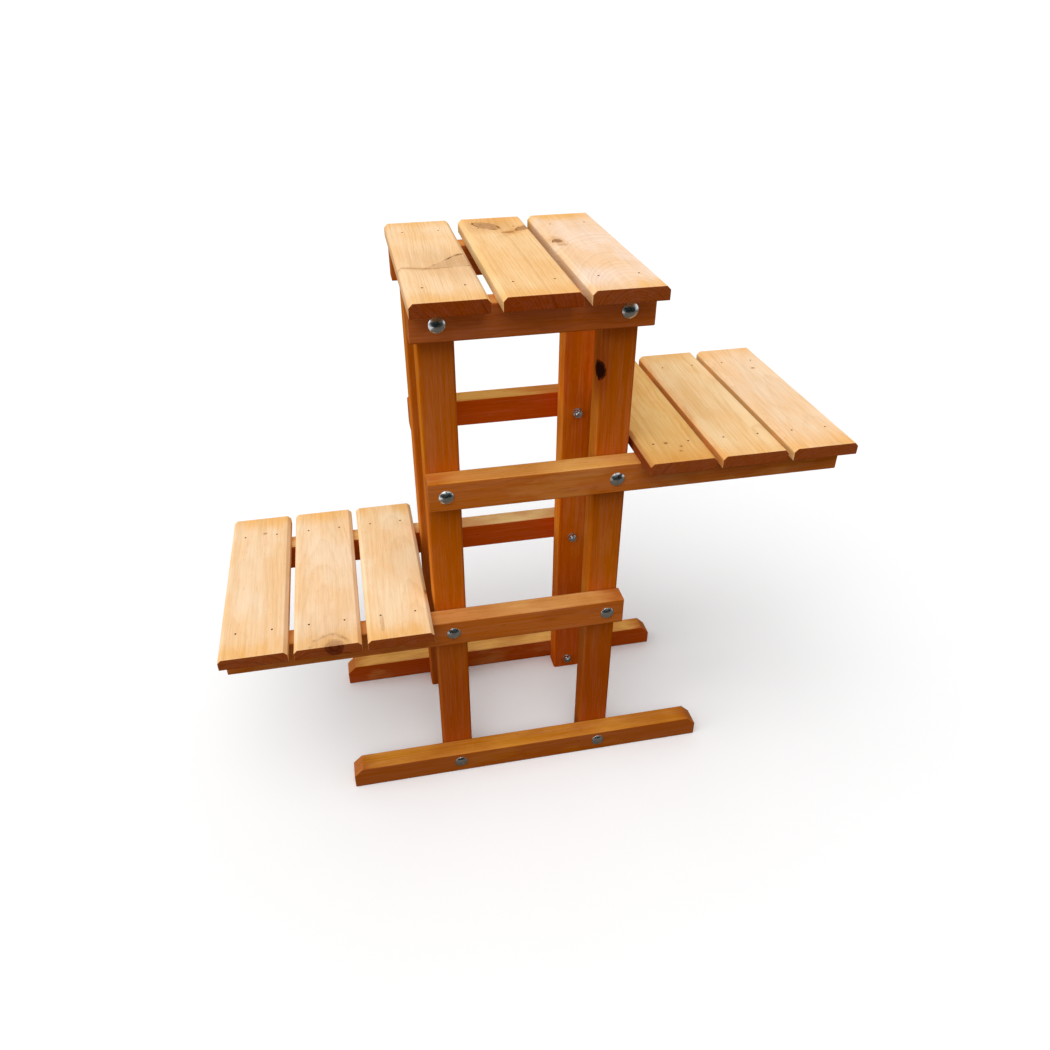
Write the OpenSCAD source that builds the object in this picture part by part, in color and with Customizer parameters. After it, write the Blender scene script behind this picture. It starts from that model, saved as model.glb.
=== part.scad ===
// Stepped plant ladder stand in pine, with three slatted shelves at three heights.
// A bolted front frame and a bolted back frame are joined only by the shelf slats.
// X runs along the rails, the front faces -Y, Z is up.
// The origin is on the floor, under the middle of the post tower.

/* [Tower] */
// Width of the post tower, over its left and right posts
tower_w = 225; // [180:1:400]
// Depth of the stand over the outer faces of its rails
frame_d = 220; // [180:1:400]
// Height of the posts, from the floor to the top slats
post_h = 633; // [520:1:900]
// Width of a post, seen from the front
post_w = 38; // [30:0.5:50]
// Thickness of a post, front to back
post_t = 27; // [20:0.5:36]
// Rounding along a post's long edges
post_round = 4; // [1:0.5:8]

/* [Rails] */
// Height of a rail
rail_h = 35; // [28:0.5:60]
// Thickness of a rail, front to back
rail_t = 25; // [20:0.5:36]
// Rounding along a rail's long edges
rail_round = 2; // [0.5:0.5:5]
// Drop from one shelf level to the next
level_step = 187.5; // [140:0.5:220]
// How far the lower rails run past the right post
lower_rail_past = 1.5; // [0:0.5:20]
// How far a rail's end stops short of the edge of the last slat
rail_inset = 1; // [0:0.5:10]

/* [Feet] */
// Length of a foot rail
foot_l = 466; // [400:1:700]
// Height of a foot rail
foot_h = 32; // [28:0.5:60]
// Size of the corner clipped off each end of a foot rail
foot_clip = 12; // [4:0.5:20]
// Height of the foot bolts above the floor
foot_bolt_z = 18; // [14:0.5:20]

/* [Slats] */
// How far a slat runs past the outer faces of its rails, front and back
slat_overhang = 30; // [10:1:100]
// Width of a slat
slat_w = 74.5; // [60:0.5:120]
// Thickness of a slat
slat_t = 14; // [10:0.5:25]
// Chamfer along the upper long edges of a slat
slat_chamfer = 4; // [1:0.5:7]
// Gap between the first and second top slats
top_gap_left = 10.5; // [4:0.5:20]
// Gap between the second and third top slats
top_gap_right = 8; // [4:0.5:20]
// Gap between two slats of a side shelf
side_gap = 6.5; // [3:0.5:20]
// Gap between the posts and the first slat of a side shelf
post_gap = 6; // [3:0.5:20]

/* [Bolts] */
// Diameter of a carriage bolt's shank
bolt_d = 6; // [4:0.5:8]
// Diameter of a carriage bolt's domed head
head_d = 16.5; // [14:0.5:20]
// Height of a carriage bolt's domed head
head_h = 3.6; // [2:0.1:6]
// Width of the square neck under the head
neck_w = 6; // [4:0.5:9]
// Depth of the square neck under the head
neck_h = 3.5; // [2:0.5:6]
// Bolt end that shows past the nut
bolt_tail = 1.6; // [0.5:0.1:8]
// Diameter of a washer
washer_d = 12; // [12:0.5:24]
// Thickness of a washer
washer_t = 1.6; // [0.8:0.1:3]
// Width of a hex nut across its flats
nut_af = 10; // [10:0.5:14]
// Height of a hex nut
nut_h = 5; // [3:0.5:8]

/* [Nails] */
// Diameter of a slat nail's shank
nail_d = 1.6; // [1.2:0.1:3]
// Length of a slat nail
nail_l = 30; // [26:1:36]
// How far a nail's head stands out around its shank
nail_head_lip = 0.4; // [0.2:0.1:1.5]
// Thickness of a slat nail's head
nail_head_t = 0.8; // [0.5:0.1:1.2]
// How far a nail's head is driven below the top of its slat
nail_sink = 0.6; // [0.2:0.1:2]
// Distance between the two nails at a slat's end
nail_spacing = 40; // [20:1:50]

/* [Fits] */
// Radial clearance of a bolt in its holes through the wood
bolt_clear = 0.25; // [0.1:0.05:0.5]
// Clearance around the square neck, on each side
neck_clear = 0.05; // [0.02:0.01:0.2]
// Radial clearance of the bolt in its nut
thread_clear = 0.05; // [0.02:0.01:0.1]
// Radial clearance of the bolt in its washer
washer_clear = 0.2; // [0.1:0.05:0.4]
// Clearance around a nail in its hole
nail_clear = 0.05; // [0.02:0.01:0.1]

/* [Hidden] */
$fn = 48;

// Colours of the oiled pine and the zinc-plated fasteners
SLAT_COLOUR = [0.93, 0.70, 0.42];
FRAME_COLOUR = [0.78, 0.46, 0.20];
ZINC_COLOUR = [0.74, 0.75, 0.76];
NAIL_COLOUR = [0.36, 0.33, 0.30];

// A cutting tool runs this far past the face it cuts through
past = 1;

// Signs of the two frames and of the two posts in a frame
FRONT = -1;
BACK = 1;
LEFT = -1;
RIGHT = 1;

// Tops of the three pairs of shelf rails, which carry the slats
top_level = post_h;
middle_level = top_level - level_step;
lower_level = middle_level - level_step;

// Heights of the four bolts in each post
top_bolt_z = top_level - rail_h / 2;
middle_bolt_z = middle_level - rail_h / 2;
lower_bolt_z = lower_level - rail_h / 2;
bolt_heights = [top_bolt_z, middle_bolt_z, lower_bolt_z, foot_bolt_z];

// Places across the stand: the rails lie on the outer faces of the posts
rail_y = (frame_d - rail_t) / 2;
post_y = frame_d / 2 - rail_t - post_t / 2;
post_x = (tower_w - post_w) / 2;

// Length of a slat, front to back, over both frames
slat_l = frame_d + 2 * slat_overhang;

// Left edges of the slats of each shelf
top_shelf_w = 3 * slat_w + top_gap_left + top_gap_right;
top_slat_x = [
    -top_shelf_w / 2,
    -top_shelf_w / 2 + slat_w + top_gap_left,
    top_shelf_w / 2 - slat_w
];
side_shelf_start = tower_w / 2 + post_gap;
side_pitch = slat_w + side_gap;
side_shelf_end = side_shelf_start + 2 * side_pitch + slat_w;
left_slat_x = [for (i = [0:2]) -side_shelf_end + i * side_pitch];
right_slat_x = [for (i = [0:2]) side_shelf_start + i * side_pitch];

// Left and right ends of the rails
top_rail_ends = [-top_shelf_w / 2 + rail_inset, top_shelf_w / 2 - rail_inset];
middle_rail_ends = [-tower_w / 2, side_shelf_end - rail_inset];
lower_rail_ends = [-side_shelf_end + rail_inset, tower_w / 2 + lower_rail_past];
foot_ends = [-foot_l / 2, foot_l / 2];

// A bolt runs through a rail, a post, a washer and a nut
grip = rail_t + post_t;
bolt_l = grip + washer_t + nut_h + bolt_tail;

// Sizes worked out from the fasteners and their clearances
bolt_hole_r = bolt_d / 2 + bolt_clear;
neck_hole_w = neck_w + 2 * neck_clear;
head_sphere_r = (pow(head_d / 2, 2) + pow(head_h, 2)) / (2 * head_h);
nut_corner_r = nut_af / 2 / cos(30);
nut_chamfer = nut_corner_r - nut_af / 2;
nail_head_r = nail_d / 2 + nail_head_lip;
nail_tip_l = 2 * nail_d;

// ---- Shapes that repeat ----

// Rectangle centred on the origin, w wide and h high, with rounded corners
module eased_rectangle(w, h, r) {
    square([w - 2 * r, h], center = true);
    square([w, h - 2 * r], center = true);
    for (x = [-1, 1], y = [-1, 1]) {
        translate([x * (w / 2 - r), y * (h / 2 - r)]) circle(r);
    }
}

// Places its children on the bolt axis at each given height, at both posts of one frame.
// Its children point along +Z, which is turned to run into the stand from the rail's face.
module at_bolts(frame, heights) {
    for (side = [LEFT, RIGHT], z = heights) {
        translate([side * post_x, frame * frame_d / 2, z]) rotate([frame * 90, 0, 0]) children();
    }
}

// Clearance hole and square seat for a carriage bolt, from the rail's face inwards
module bolt_hole() {
    translate([0, 0, -past]) cylinder(r = bolt_hole_r, h = grip + 2 * past);
    translate([-neck_hole_w / 2, -neck_hole_w / 2, -past]) {
        cube([neck_hole_w, neck_hole_w, neck_h + neck_clear + past]);
    }
}

// Places its children at the top of the head of every nail in the given slats
module at_nails(slat_x, level) {
    for (x = slat_x, offset = [-1, 1], frame = [FRONT, BACK]) {
        translate([
            x + slat_w / 2 + offset * nail_spacing / 2,
            frame * rail_y,
            level + slat_t - nail_sink
        ]) children();
    }
}

// Hole for a nail, from the top of a slat down into the rail
module nail_hole() {
    translate([0, 0, -nail_l - nail_clear]) {
        cylinder(r = nail_d / 2 + nail_clear, h = nail_l + nail_clear);
    }
    translate([0, 0, -nail_head_t]) {
        cylinder(r = nail_head_r + nail_clear, h = nail_head_t + nail_sink + past);
    }
}

// ---- Wooden pieces ----

// A post, drilled for its four bolts
module post(side, frame) {
    color(FRAME_COLOUR) difference() {
        translate([side * post_x, frame * post_y, 0]) {
            linear_extrude(post_h) eased_rectangle(post_w, post_t, post_round);
        }
        at_bolts(frame, bolt_heights) bolt_hole();
    }
}

// A rail between two ends, level with the given height at its top
module rail_bar(frame, ends, level, height) {
    translate([ends[0], frame * rail_y, level - height / 2]) {
        rotate([90, 0, 90]) {
            linear_extrude(ends[1] - ends[0]) eased_rectangle(rail_t, height, rail_round);
        }
    }
}

// A shelf rail, drilled for its bolts and for the nails of the slats that it carries
module shelf_rail(frame, ends, level, bolt_z, slat_x) {
    color(FRAME_COLOUR) difference() {
        rail_bar(frame, ends, level, rail_h);
        at_bolts(frame, [bolt_z]) bolt_hole();
        at_nails(slat_x, level) nail_hole();
    }
}

// A foot rail, with both upper corners clipped
module foot(frame) {
    color(FRAME_COLOUR) difference() {
        rail_bar(frame, foot_ends, foot_h, foot_h);
        for (side = [LEFT, RIGHT]) {
            translate([side * foot_l / 2, frame * rail_y, foot_h]) rotate([0, 45, 0]) {
                cube([foot_clip * sqrt(2), rail_t + 2 * past, foot_clip * sqrt(2)], center = true);
            }
        }
        at_bolts(frame, [foot_bolt_z]) bolt_hole();
    }
}

// A slat with its left edge at x, lying on its rails at the given height
module slat(x, level) {
    color(SLAT_COLOUR) difference() {
        translate([x, slat_l / 2, level]) rotate([90, 0, 0]) linear_extrude(slat_l) {
            polygon([
                [0, 0],
                [slat_w, 0],
                [slat_w, slat_t - slat_chamfer],
                [slat_w - slat_chamfer, slat_t],
                [slat_chamfer, slat_t],
                [0, slat_t - slat_chamfer]
            ]);
        }
        at_nails([x], level) nail_hole();
    }
}

// ---- Fasteners ----

// A carriage bolt from its domed head to its chamfered end
module carriage_bolt() {
    intersection() {
        translate([0, 0, head_sphere_r - head_h]) sphere(head_sphere_r, $fn = 64);
        translate([0, 0, -head_h]) cylinder(d = head_d, h = head_h);
    }
    translate([-neck_w / 2, -neck_w / 2, 0]) cube([neck_w, neck_w, neck_h]);
    cylinder(d = bolt_d, h = bolt_l - bolt_tail / 2);
    translate([0, 0, bolt_l - bolt_tail / 2]) {
        cylinder(d1 = bolt_d, d2 = bolt_d - bolt_tail, h = bolt_tail / 2);
    }
}

// A flat washer against the inner face of the post
module washer() {
    translate([0, 0, grip]) difference() {
        cylinder(d = washer_d, h = washer_t);
        translate([0, 0, -past]) {
            cylinder(r = bolt_d / 2 + washer_clear, h = washer_t + 2 * past);
        }
    }
}

// A hex nut against the washer, with its outer corners chamfered
module hex_nut() {
    translate([0, 0, grip + washer_t]) difference() {
        intersection() {
            cylinder(r = nut_corner_r, h = nut_h, $fn = 6);
            union() {
                cylinder(r = nut_corner_r, h = nut_h - nut_chamfer);
                translate([0, 0, nut_h - nut_chamfer]) {
                    cylinder(r1 = nut_corner_r, r2 = nut_af / 2, h = nut_chamfer);
                }
            }
        }
        translate([0, 0, -past]) {
            cylinder(r = bolt_d / 2 + thread_clear, h = nut_h + 2 * past);
        }
    }
}

// A small-headed nail, from the top of its head down to its tip
module nail() {
    translate([0, 0, -nail_head_t]) cylinder(r = nail_head_r, h = nail_head_t);
    translate([0, 0, nail_tip_l - nail_l]) cylinder(d = nail_d, h = nail_l - nail_tip_l);
    translate([0, 0, -nail_l]) cylinder(d1 = nail_d / 4, d2 = nail_d, h = nail_tip_l);
}

// The four bolts, washers or nuts of one level, two in each frame
module in_both_frames(bolt_z) {
    for (frame = [FRONT, BACK]) {
        at_bolts(frame, [bolt_z]) children();
    }
}

// ---- Posts ----

module front_left_post() {
    post(LEFT, FRONT);
}

module front_right_post() {
    post(RIGHT, FRONT);
}

module back_left_post() {
    post(LEFT, BACK);
}

module back_right_post() {
    post(RIGHT, BACK);
}

// ---- Rails and feet ----

module front_top_rail() {
    shelf_rail(FRONT, top_rail_ends, top_level, top_bolt_z, top_slat_x);
}

module front_middle_rail() {
    shelf_rail(FRONT, middle_rail_ends, middle_level, middle_bolt_z, right_slat_x);
}

module front_lower_rail() {
    shelf_rail(FRONT, lower_rail_ends, lower_level, lower_bolt_z, left_slat_x);
}

module front_foot() {
    foot(FRONT);
}

module back_top_rail() {
    shelf_rail(BACK, top_rail_ends, top_level, top_bolt_z, top_slat_x);
}

module back_middle_rail() {
    shelf_rail(BACK, middle_rail_ends, middle_level, middle_bolt_z, right_slat_x);
}

module back_lower_rail() {
    shelf_rail(BACK, lower_rail_ends, lower_level, lower_bolt_z, left_slat_x);
}

module back_foot() {
    foot(BACK);
}

// ---- Slats, numbered from the left ----

module top_slat_1() {
    slat(top_slat_x[0], top_level);
}

module top_slat_2() {
    slat(top_slat_x[1], top_level);
}

module top_slat_3() {
    slat(top_slat_x[2], top_level);
}

module left_slat_1() {
    slat(left_slat_x[0], lower_level);
}

module left_slat_2() {
    slat(left_slat_x[1], lower_level);
}

module left_slat_3() {
    slat(left_slat_x[2], lower_level);
}

module right_slat_1() {
    slat(right_slat_x[0], middle_level);
}

module right_slat_2() {
    slat(right_slat_x[1], middle_level);
}

module right_slat_3() {
    slat(right_slat_x[2], middle_level);
}

// ---- Bolts, washers and nuts of each level ----

module top_bolts() {
    color(ZINC_COLOUR) in_both_frames(top_bolt_z) carriage_bolt();
}

module middle_bolts() {
    color(ZINC_COLOUR) in_both_frames(middle_bolt_z) carriage_bolt();
}

module lower_bolts() {
    color(ZINC_COLOUR) in_both_frames(lower_bolt_z) carriage_bolt();
}

module foot_bolts() {
    color(ZINC_COLOUR) in_both_frames(foot_bolt_z) carriage_bolt();
}

module top_washers() {
    color(ZINC_COLOUR) in_both_frames(top_bolt_z) washer();
}

module middle_washers() {
    color(ZINC_COLOUR) in_both_frames(middle_bolt_z) washer();
}

module lower_washers() {
    color(ZINC_COLOUR) in_both_frames(lower_bolt_z) washer();
}

module foot_washers() {
    color(ZINC_COLOUR) in_both_frames(foot_bolt_z) washer();
}

module top_nuts() {
    color(ZINC_COLOUR) in_both_frames(top_bolt_z) hex_nut();
}

module middle_nuts() {
    color(ZINC_COLOUR) in_both_frames(middle_bolt_z) hex_nut();
}

module lower_nuts() {
    color(ZINC_COLOUR) in_both_frames(lower_bolt_z) hex_nut();
}

module foot_nuts() {
    color(ZINC_COLOUR) in_both_frames(foot_bolt_z) hex_nut();
}

// ---- Nails of each shelf ----

module top_nails() {
    color(NAIL_COLOUR) at_nails(top_slat_x, top_level) nail();
}

module left_nails() {
    color(NAIL_COLOUR) at_nails(left_slat_x, lower_level) nail();
}

module right_nails() {
    color(NAIL_COLOUR) at_nails(right_slat_x, middle_level) nail();
}

front_left_post();
front_right_post();
back_left_post();
back_right_post();
front_top_rail();
front_middle_rail();
front_lower_rail();
front_foot();
back_top_rail();
back_middle_rail();
back_lower_rail();
back_foot();
top_slat_1();
top_slat_2();
top_slat_3();
left_slat_1();
left_slat_2();
left_slat_3();
right_slat_1();
right_slat_2();
right_slat_3();
top_bolts();
middle_bolts();
lower_bolts();
foot_bolts();
top_washers();
middle_washers();
lower_washers();
foot_washers();
top_nuts();
middle_nuts();
lower_nuts();
foot_nuts();
top_nails();
left_nails();
right_nails();
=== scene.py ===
import math
import random

import bmesh
import bpy
from bpy.props import FloatProperty, FloatVectorProperty, IntProperty, PointerProperty
from mathutils import Euler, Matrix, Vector


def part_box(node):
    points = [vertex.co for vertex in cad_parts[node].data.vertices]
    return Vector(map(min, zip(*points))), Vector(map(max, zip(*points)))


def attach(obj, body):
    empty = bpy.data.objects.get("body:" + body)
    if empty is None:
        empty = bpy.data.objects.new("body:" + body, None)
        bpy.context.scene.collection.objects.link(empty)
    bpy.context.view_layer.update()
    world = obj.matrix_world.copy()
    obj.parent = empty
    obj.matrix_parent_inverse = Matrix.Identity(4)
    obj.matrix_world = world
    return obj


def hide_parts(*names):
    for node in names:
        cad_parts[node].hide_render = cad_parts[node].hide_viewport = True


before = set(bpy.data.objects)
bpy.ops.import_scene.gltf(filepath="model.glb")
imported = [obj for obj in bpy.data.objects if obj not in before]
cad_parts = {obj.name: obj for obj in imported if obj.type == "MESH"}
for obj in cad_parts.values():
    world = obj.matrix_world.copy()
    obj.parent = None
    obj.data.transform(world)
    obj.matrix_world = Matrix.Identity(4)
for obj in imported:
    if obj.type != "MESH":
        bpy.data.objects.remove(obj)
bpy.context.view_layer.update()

bl_info = {
    "name": "Stepped Plant Stand",
    "version": (1, 0, 0),
    "blender": (4, 5, 0),
    "location": "3D View > Sidebar > Plant Stand",
    "description": "Dresses the packed plant stand in oiled pine and zinc-plated fasteners",
    "category": "Add Mesh",
}

# Boards are named for the axis along which their grain runs
X, Y, Z = 0, 1, 2
POSTS = ("front_left_post", "front_right_post", "back_left_post", "back_right_post")
RAILS = (
    "front_top_rail", "front_middle_rail", "front_lower_rail",
    "back_top_rail", "back_middle_rail", "back_lower_rail",
)
FEET = ("front_foot", "back_foot")
SHELVES = ("top", "left", "right")
SLATS_PER_SHELF = 3
BOLT_LEVELS = ("top", "middle", "lower", "foot")
# The level whose bolts hold each shelf's rails
RAIL_OF_SHELF = {"top": "top", "left": "lower", "right": "middle"}

# Places closer than this are one place, and points closer than the next are one point, in metres
SAME_PLACE = 1e-5
SAME_POINT = SAME_PLACE / 10
MILLIMETRE = 0.001
SIDES = (-1, 1)
UNTURNED = (0.0, 0.0, 0.0)
WHITE = (1.0, 1.0, 1.0)
# Faces that meet at more than this leave a sharp edge
SHARP_EDGE = math.radians(30.0)
# Steps around a rounded edge, and sides around what is turned or drilled
POST_EDGE_STEPS = 5
RAIL_EDGE_STEPS = 4
HEAD_RIM_STEPS = 3
ROUND_SIDES = 32
WASHER_SIDES = 48
NUT_TURNING_SIDES = 64
NAIL_SIDES = 16
NAIL_HEAD_SIDES = 24
DOME_SEGMENTS = 64
DOME_RINGS = 96


# ---- Settings ----


def length(name, description, default):
    """A length setting, in metres."""
    return FloatProperty(
        name=name, description=description, default=default, min=0.0, precision=5, unit="LENGTH"
    )


def share(name, description, default):
    """A setting without a unit."""
    return FloatProperty(name=name, description=description, default=default, min=0.0, precision=3)


def colour(name, description, default):
    """A linear colour setting."""
    return FloatVectorProperty(
        name=name, description=description, default=default, size=3, min=0.0, max=1.0,
        subtype="COLOR",
    )


class TimberSettings(bpy.types.PropertyGroup):
    """Sizes of the boards that their boxes don't give"""

    post_round: length("Post Rounding", "Radius along a post's long edges", 0.003)
    rail_round: length("Rail Rounding", "Radius along a rail's long edges", 0.002)
    end_ease: length("End Easing", "Sanded easing around a board's sawn ends", 0.0008)
    slat_chamfer: length("Slat Chamfer", "Chamfer along a slat's upper long edges", 0.004)
    slat_ease: length("Slat Easing", "Sanded easing of a slat's other edges", 0.0007)
    foot_clip: length("Foot Clip", "Corner clipped off each end of a foot rail", 0.012)


class FastenerSettings(bpy.types.PropertyGroup):
    """Sizes of the fasteners that their boxes don't give"""

    shank_radius: length("Shank Radius", "Radius of a bolt's shank", 0.003)
    neck_width: length("Neck Width", "Width of the square neck under a bolt's head", 0.006)
    neck_depth: length("Neck Depth", "Depth of the square neck under a bolt's head", 0.0035)
    neck_clear: length("Neck Clearance", "Clearance around a square neck in its seat", 0.00005)
    head_height: length("Head Height", "Height of a bolt's domed head", 0.0036)
    head_rim: length("Head Rim", "Height of the straight rim around a bolt's head", 0.0006)
    thread_pitch: length("Thread Pitch", "Distance from one thread to the next", 0.001)
    thread_depth: length("Thread Depth", "Depth of the thread's groove", 0.0005)
    threads: IntProperty(name="Threads", description="Threads on a bolt", default=18, min=1)
    hole_clear: length("Hole Clearance", "Radial clearance of a bolt in the wood", 0.00025)
    washer_hole: length("Washer Hole", "Radius of a washer's hole", 0.0032)
    nut_hole: length("Nut Hole", "Radius of a nut's hole", 0.00305)
    nail_radius: length("Nail Radius", "Radius of a nail's shank", 0.0008)
    nail_head_radius: length("Nail Head Radius", "Radius of a nail's head", 0.0012)
    nail_head_height: length("Nail Head Height", "Thickness of a nail's head", 0.0008)
    nail_clear: length("Nail Clearance", "Clearance around a nail in its hole", 0.00005)


class FinishSettings(bpy.types.PropertyGroup):
    """Colours of the oiled pine and of the plated steel"""

    # A kind's pale colour goes on what faces up and its oiled colour on the other faces: painted
    # light on the tops, painted shade on the sides. The oiled colour also shows where oil soaked in
    # at the ends and in blotches.
    slat_pale: colour("Slat Pale", "Sun-bleached pine on top of the slats", (0.955, 0.71, 0.47))
    slat_oiled: colour("Slat Oiled", "Slat wood where the oil soaked in", (0.90, 0.50, 0.175))
    slat_late: colour("Slat Late Wood", "Dark line of a slat's growth rings", (0.68, 0.36, 0.13))
    slat_end: colour("Slat End Grain", "Oiled end grain of the slats", (0.31, 0.068, 0.0135))
    slat_end_late: colour("Slat End Rings", "Dark rings in slat end grain", (0.09, 0.012, 0.003))
    slat_knot_heart: colour("Slat Knot Heart", "Middle of a slat's knot", (0.36, 0.17, 0.08))
    slat_knot_rim: colour("Slat Knot Rim", "Outline of a slat's knot", (0.20, 0.075, 0.025))
    # On the posts the pale colour also goes on the face towards -X, as painted light
    post_pale: colour("Post Pale", "Light pine of the posts", (0.62, 0.22, 0.025))
    post_oiled: colour("Post Oiled", "Post wood where the oil soaked in", (0.52, 0.118, 0.008))
    post_late: colour("Post Late Wood", "Dark line of a post's growth rings", (0.33, 0.052, 0.004))
    rail_pale: colour("Rail Pale", "Sun-bleached pine on top of the rails", (0.79, 0.39, 0.115))
    rail_oiled: colour("Rail Oiled", "Rail wood where the oil soaked in", (0.51, 0.132, 0.020))
    rail_late: colour("Rail Late Wood", "Dark line of a rail's growth rings", (0.30, 0.060, 0.007))
    foot_pale: colour("Foot Pale", "Sun-bleached pine on top of the feet", (0.65, 0.26, 0.034))
    foot_oiled: colour("Foot Oiled", "Foot wood where the oil soaked in", (0.36, 0.083, 0.011))
    foot_late: colour("Foot Late Wood", "Dark line of a foot's growth rings", (0.22, 0.042, 0.005))
    frame_end: colour("Frame End Grain", "Oiled end grain of the frame", (0.47, 0.145, 0.034))
    frame_end_late: colour("Frame End Rings", "Dark rings in frame end grain", (0.22, 0.040, 0.006))
    frame_knot_heart: colour("Frame Knot Heart", "Middle of a frame knot", (0.026, 0.006, 0.0035))
    frame_knot_rim: colour("Frame Knot Rim", "Outline of a frame knot", (0.050, 0.010, 0.0035))
    zinc: colour("Zinc", "Bright zinc plate", (0.66, 0.68, 0.70))
    zinc_dull: colour("Dull Zinc", "Zinc plate where it has dulled", (0.44, 0.46, 0.45))
    nail_steel: colour("Nail Steel", "Dark steel of the nails", (0.10, 0.07, 0.05))
    nail_rust: colour("Nail Rust", "Nail steel where it has darkened", (0.035, 0.010, 0.005))


class StageSettings(bpy.types.PropertyGroup):
    """The plain floor, the lamps and the camera"""

    fill: share("Fill", "Strength of the even light from all round", 0.46)
    key: share("Key", "Strength of the large lamp above and to the left", 0.2)
    side: share("Side", "Strength of the low lamp on the left", 1.1)
    front: share("Front", "Strength of the wide lamp above the front", 1.6)
    floor_size: length("Floor Size", "Width of the floor", 80.0)
    lens: FloatProperty(name="Lens", description="Focal length in mm", default=28.8, min=1.0)


# ---- Picking, editing and cutting ----


def deselect_all():
    """Leave no object selected, the construction nodes among them."""
    bpy.ops.object.select_all(action="DESELECT")


def make_active(piece):
    """Select one object alone and make it the active one."""
    deselect_all()
    piece.select_set(True)
    bpy.context.view_layer.objects.active = piece


def settle(piece, name):
    """Name a piece and put its place, turn and scale into its mesh."""
    make_active(piece)
    bpy.ops.object.transform_apply(location=True, rotation=True, scale=True)
    piece.name = name
    piece.data.name = name
    return piece


def add_block(name, low, high):
    """Add a block that fills the box from low to high."""
    deselect_all()
    bpy.ops.mesh.primitive_cube_add(size=1.0, location=(low + high) / 2, scale=high - low)
    return settle(bpy.context.object, name)


def add_cylinder(name, radius, low, high, sides=ROUND_SIDES):
    """Add an upright cylinder on the Z axis, from one height to another."""
    deselect_all()
    bpy.ops.mesh.primitive_cylinder_add(
        vertices=sides, radius=radius, depth=high - low, location=(0.0, 0.0, (low + high) / 2)
    )
    return settle(bpy.context.object, name)


def extent(piece):
    """The lowest and the highest corner of a piece's mesh."""
    points = [vertex.co for vertex in piece.data.vertices]
    low = Vector(min(point[axis] for point in points) for axis in (X, Y, Z))
    high = Vector(max(point[axis] for point in points) for axis in (X, Y, Z))
    return low, high


def start_editing(piece):
    """Go into edit mode on one piece, with nothing in it selected."""
    make_active(piece)
    bpy.ops.object.mode_set(mode="EDIT")
    bpy.ops.mesh.select_mode(type="EDGE")
    bpy.ops.mesh.select_all(action="DESELECT")


def stop_editing():
    """Go back to object mode."""
    bpy.ops.object.mode_set(mode="OBJECT")


def pick_edges(piece, wanted):
    """Select, in edit mode, just the edges whose two ends pass a test."""
    bpy.ops.mesh.select_all(action="DESELECT")
    bpy.ops.mesh.select_mode(type="EDGE")
    mesh = bmesh.from_edit_mesh(piece.data)
    for edge in mesh.edges:
        if wanted(edge.verts[0].co, edge.verts[1].co):
            edge.select_set(True)
    mesh.select_flush_mode()
    bmesh.update_edit_mesh(piece.data)


def pick_faces(piece, wanted):
    """Select, in edit mode, just the faces whose middle and normal pass a test."""
    bpy.ops.mesh.select_all(action="DESELECT")
    bpy.ops.mesh.select_mode(type="FACE")
    mesh = bmesh.from_edit_mesh(piece.data)
    for face in mesh.faces:
        if wanted(face.calc_center_median(), face.normal):
            face.select_set(True)
    mesh.select_flush_mode()
    bmesh.update_edit_mesh(piece.data)


def ease(width, segments=2):
    """Round off the selected edges."""
    bpy.ops.mesh.bevel(offset=width, segments=segments, affect="EDGES", clamp_overlap=False)


def ease_sharp_edges(width, segments=2):
    """Round off, in edit mode, every sharp edge of the piece."""
    bpy.ops.mesh.select_all(action="DESELECT")
    bpy.ops.mesh.edges_select_sharp(sharpness=SHARP_EDGE)
    ease(width, segments)


def slice_off(point, normal, close):
    """Cut away, in edit mode, what lies beyond a plane, and close the cut where that is wanted."""
    bpy.ops.mesh.select_all(action="SELECT")
    bpy.ops.mesh.bisect(
        plane_co=point, plane_no=normal, clear_outer=True, use_fill=close, threshold=SAME_POINT
    )


def discard(piece):
    """Remove a piece that is used up."""
    bpy.data.objects.remove(piece, do_unlink=True)


def combine(piece, tool, operation):
    """Cut a piece with a tool, join them, or keep what they share; the tool is used up."""
    make_active(piece)
    modifier = piece.modifiers.new("shape", "BOOLEAN")
    modifier.operation = operation
    modifier.solver = "EXACT"
    modifier.object = tool
    bpy.ops.object.modifier_apply(modifier=modifier.name)
    discard(tool)


def copy_to(master, places, name):
    """Join one copy of a master for each place and turn into a single piece."""
    copies = []
    for place, turn in places:
        copy = master.copy()
        copy.data = master.data.copy()
        copy.location = place
        copy.rotation_euler = turn
        bpy.context.collection.objects.link(copy)
        copies.append(copy)
    deselect_all()
    for copy in copies:
        copy.select_set(True)
    bpy.context.view_layer.objects.active = copies[0]
    if len(copies) > 1:
        bpy.ops.object.join()
    return settle(bpy.context.object, name)


def cut_out(board, cutter, places):
    """Cut a copy of a cutter out of a board at each place; the cutter is used up."""
    cutters = copy_to(cutter, places, "cutters")
    discard(cutter)
    combine(board, cutters, "DIFFERENCE")


def drill(board, places, radius, low, high, sides=ROUND_SIDES):
    """Cut round holes into a board; each place gives a point and the turn of the hole's axis."""
    cut_out(board, add_cylinder("drill_bit", radius, low, high, sides), places)


def bore(piece, radius, near, far, sides=ROUND_SIDES):
    """Cut a round hole along the Z axis, right through a piece that lies from near to far."""
    bit = add_cylinder("boring_bit", radius, near - MILLIMETRE, far + MILLIMETRE, sides)
    combine(piece, bit, "DIFFERENCE")


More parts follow.
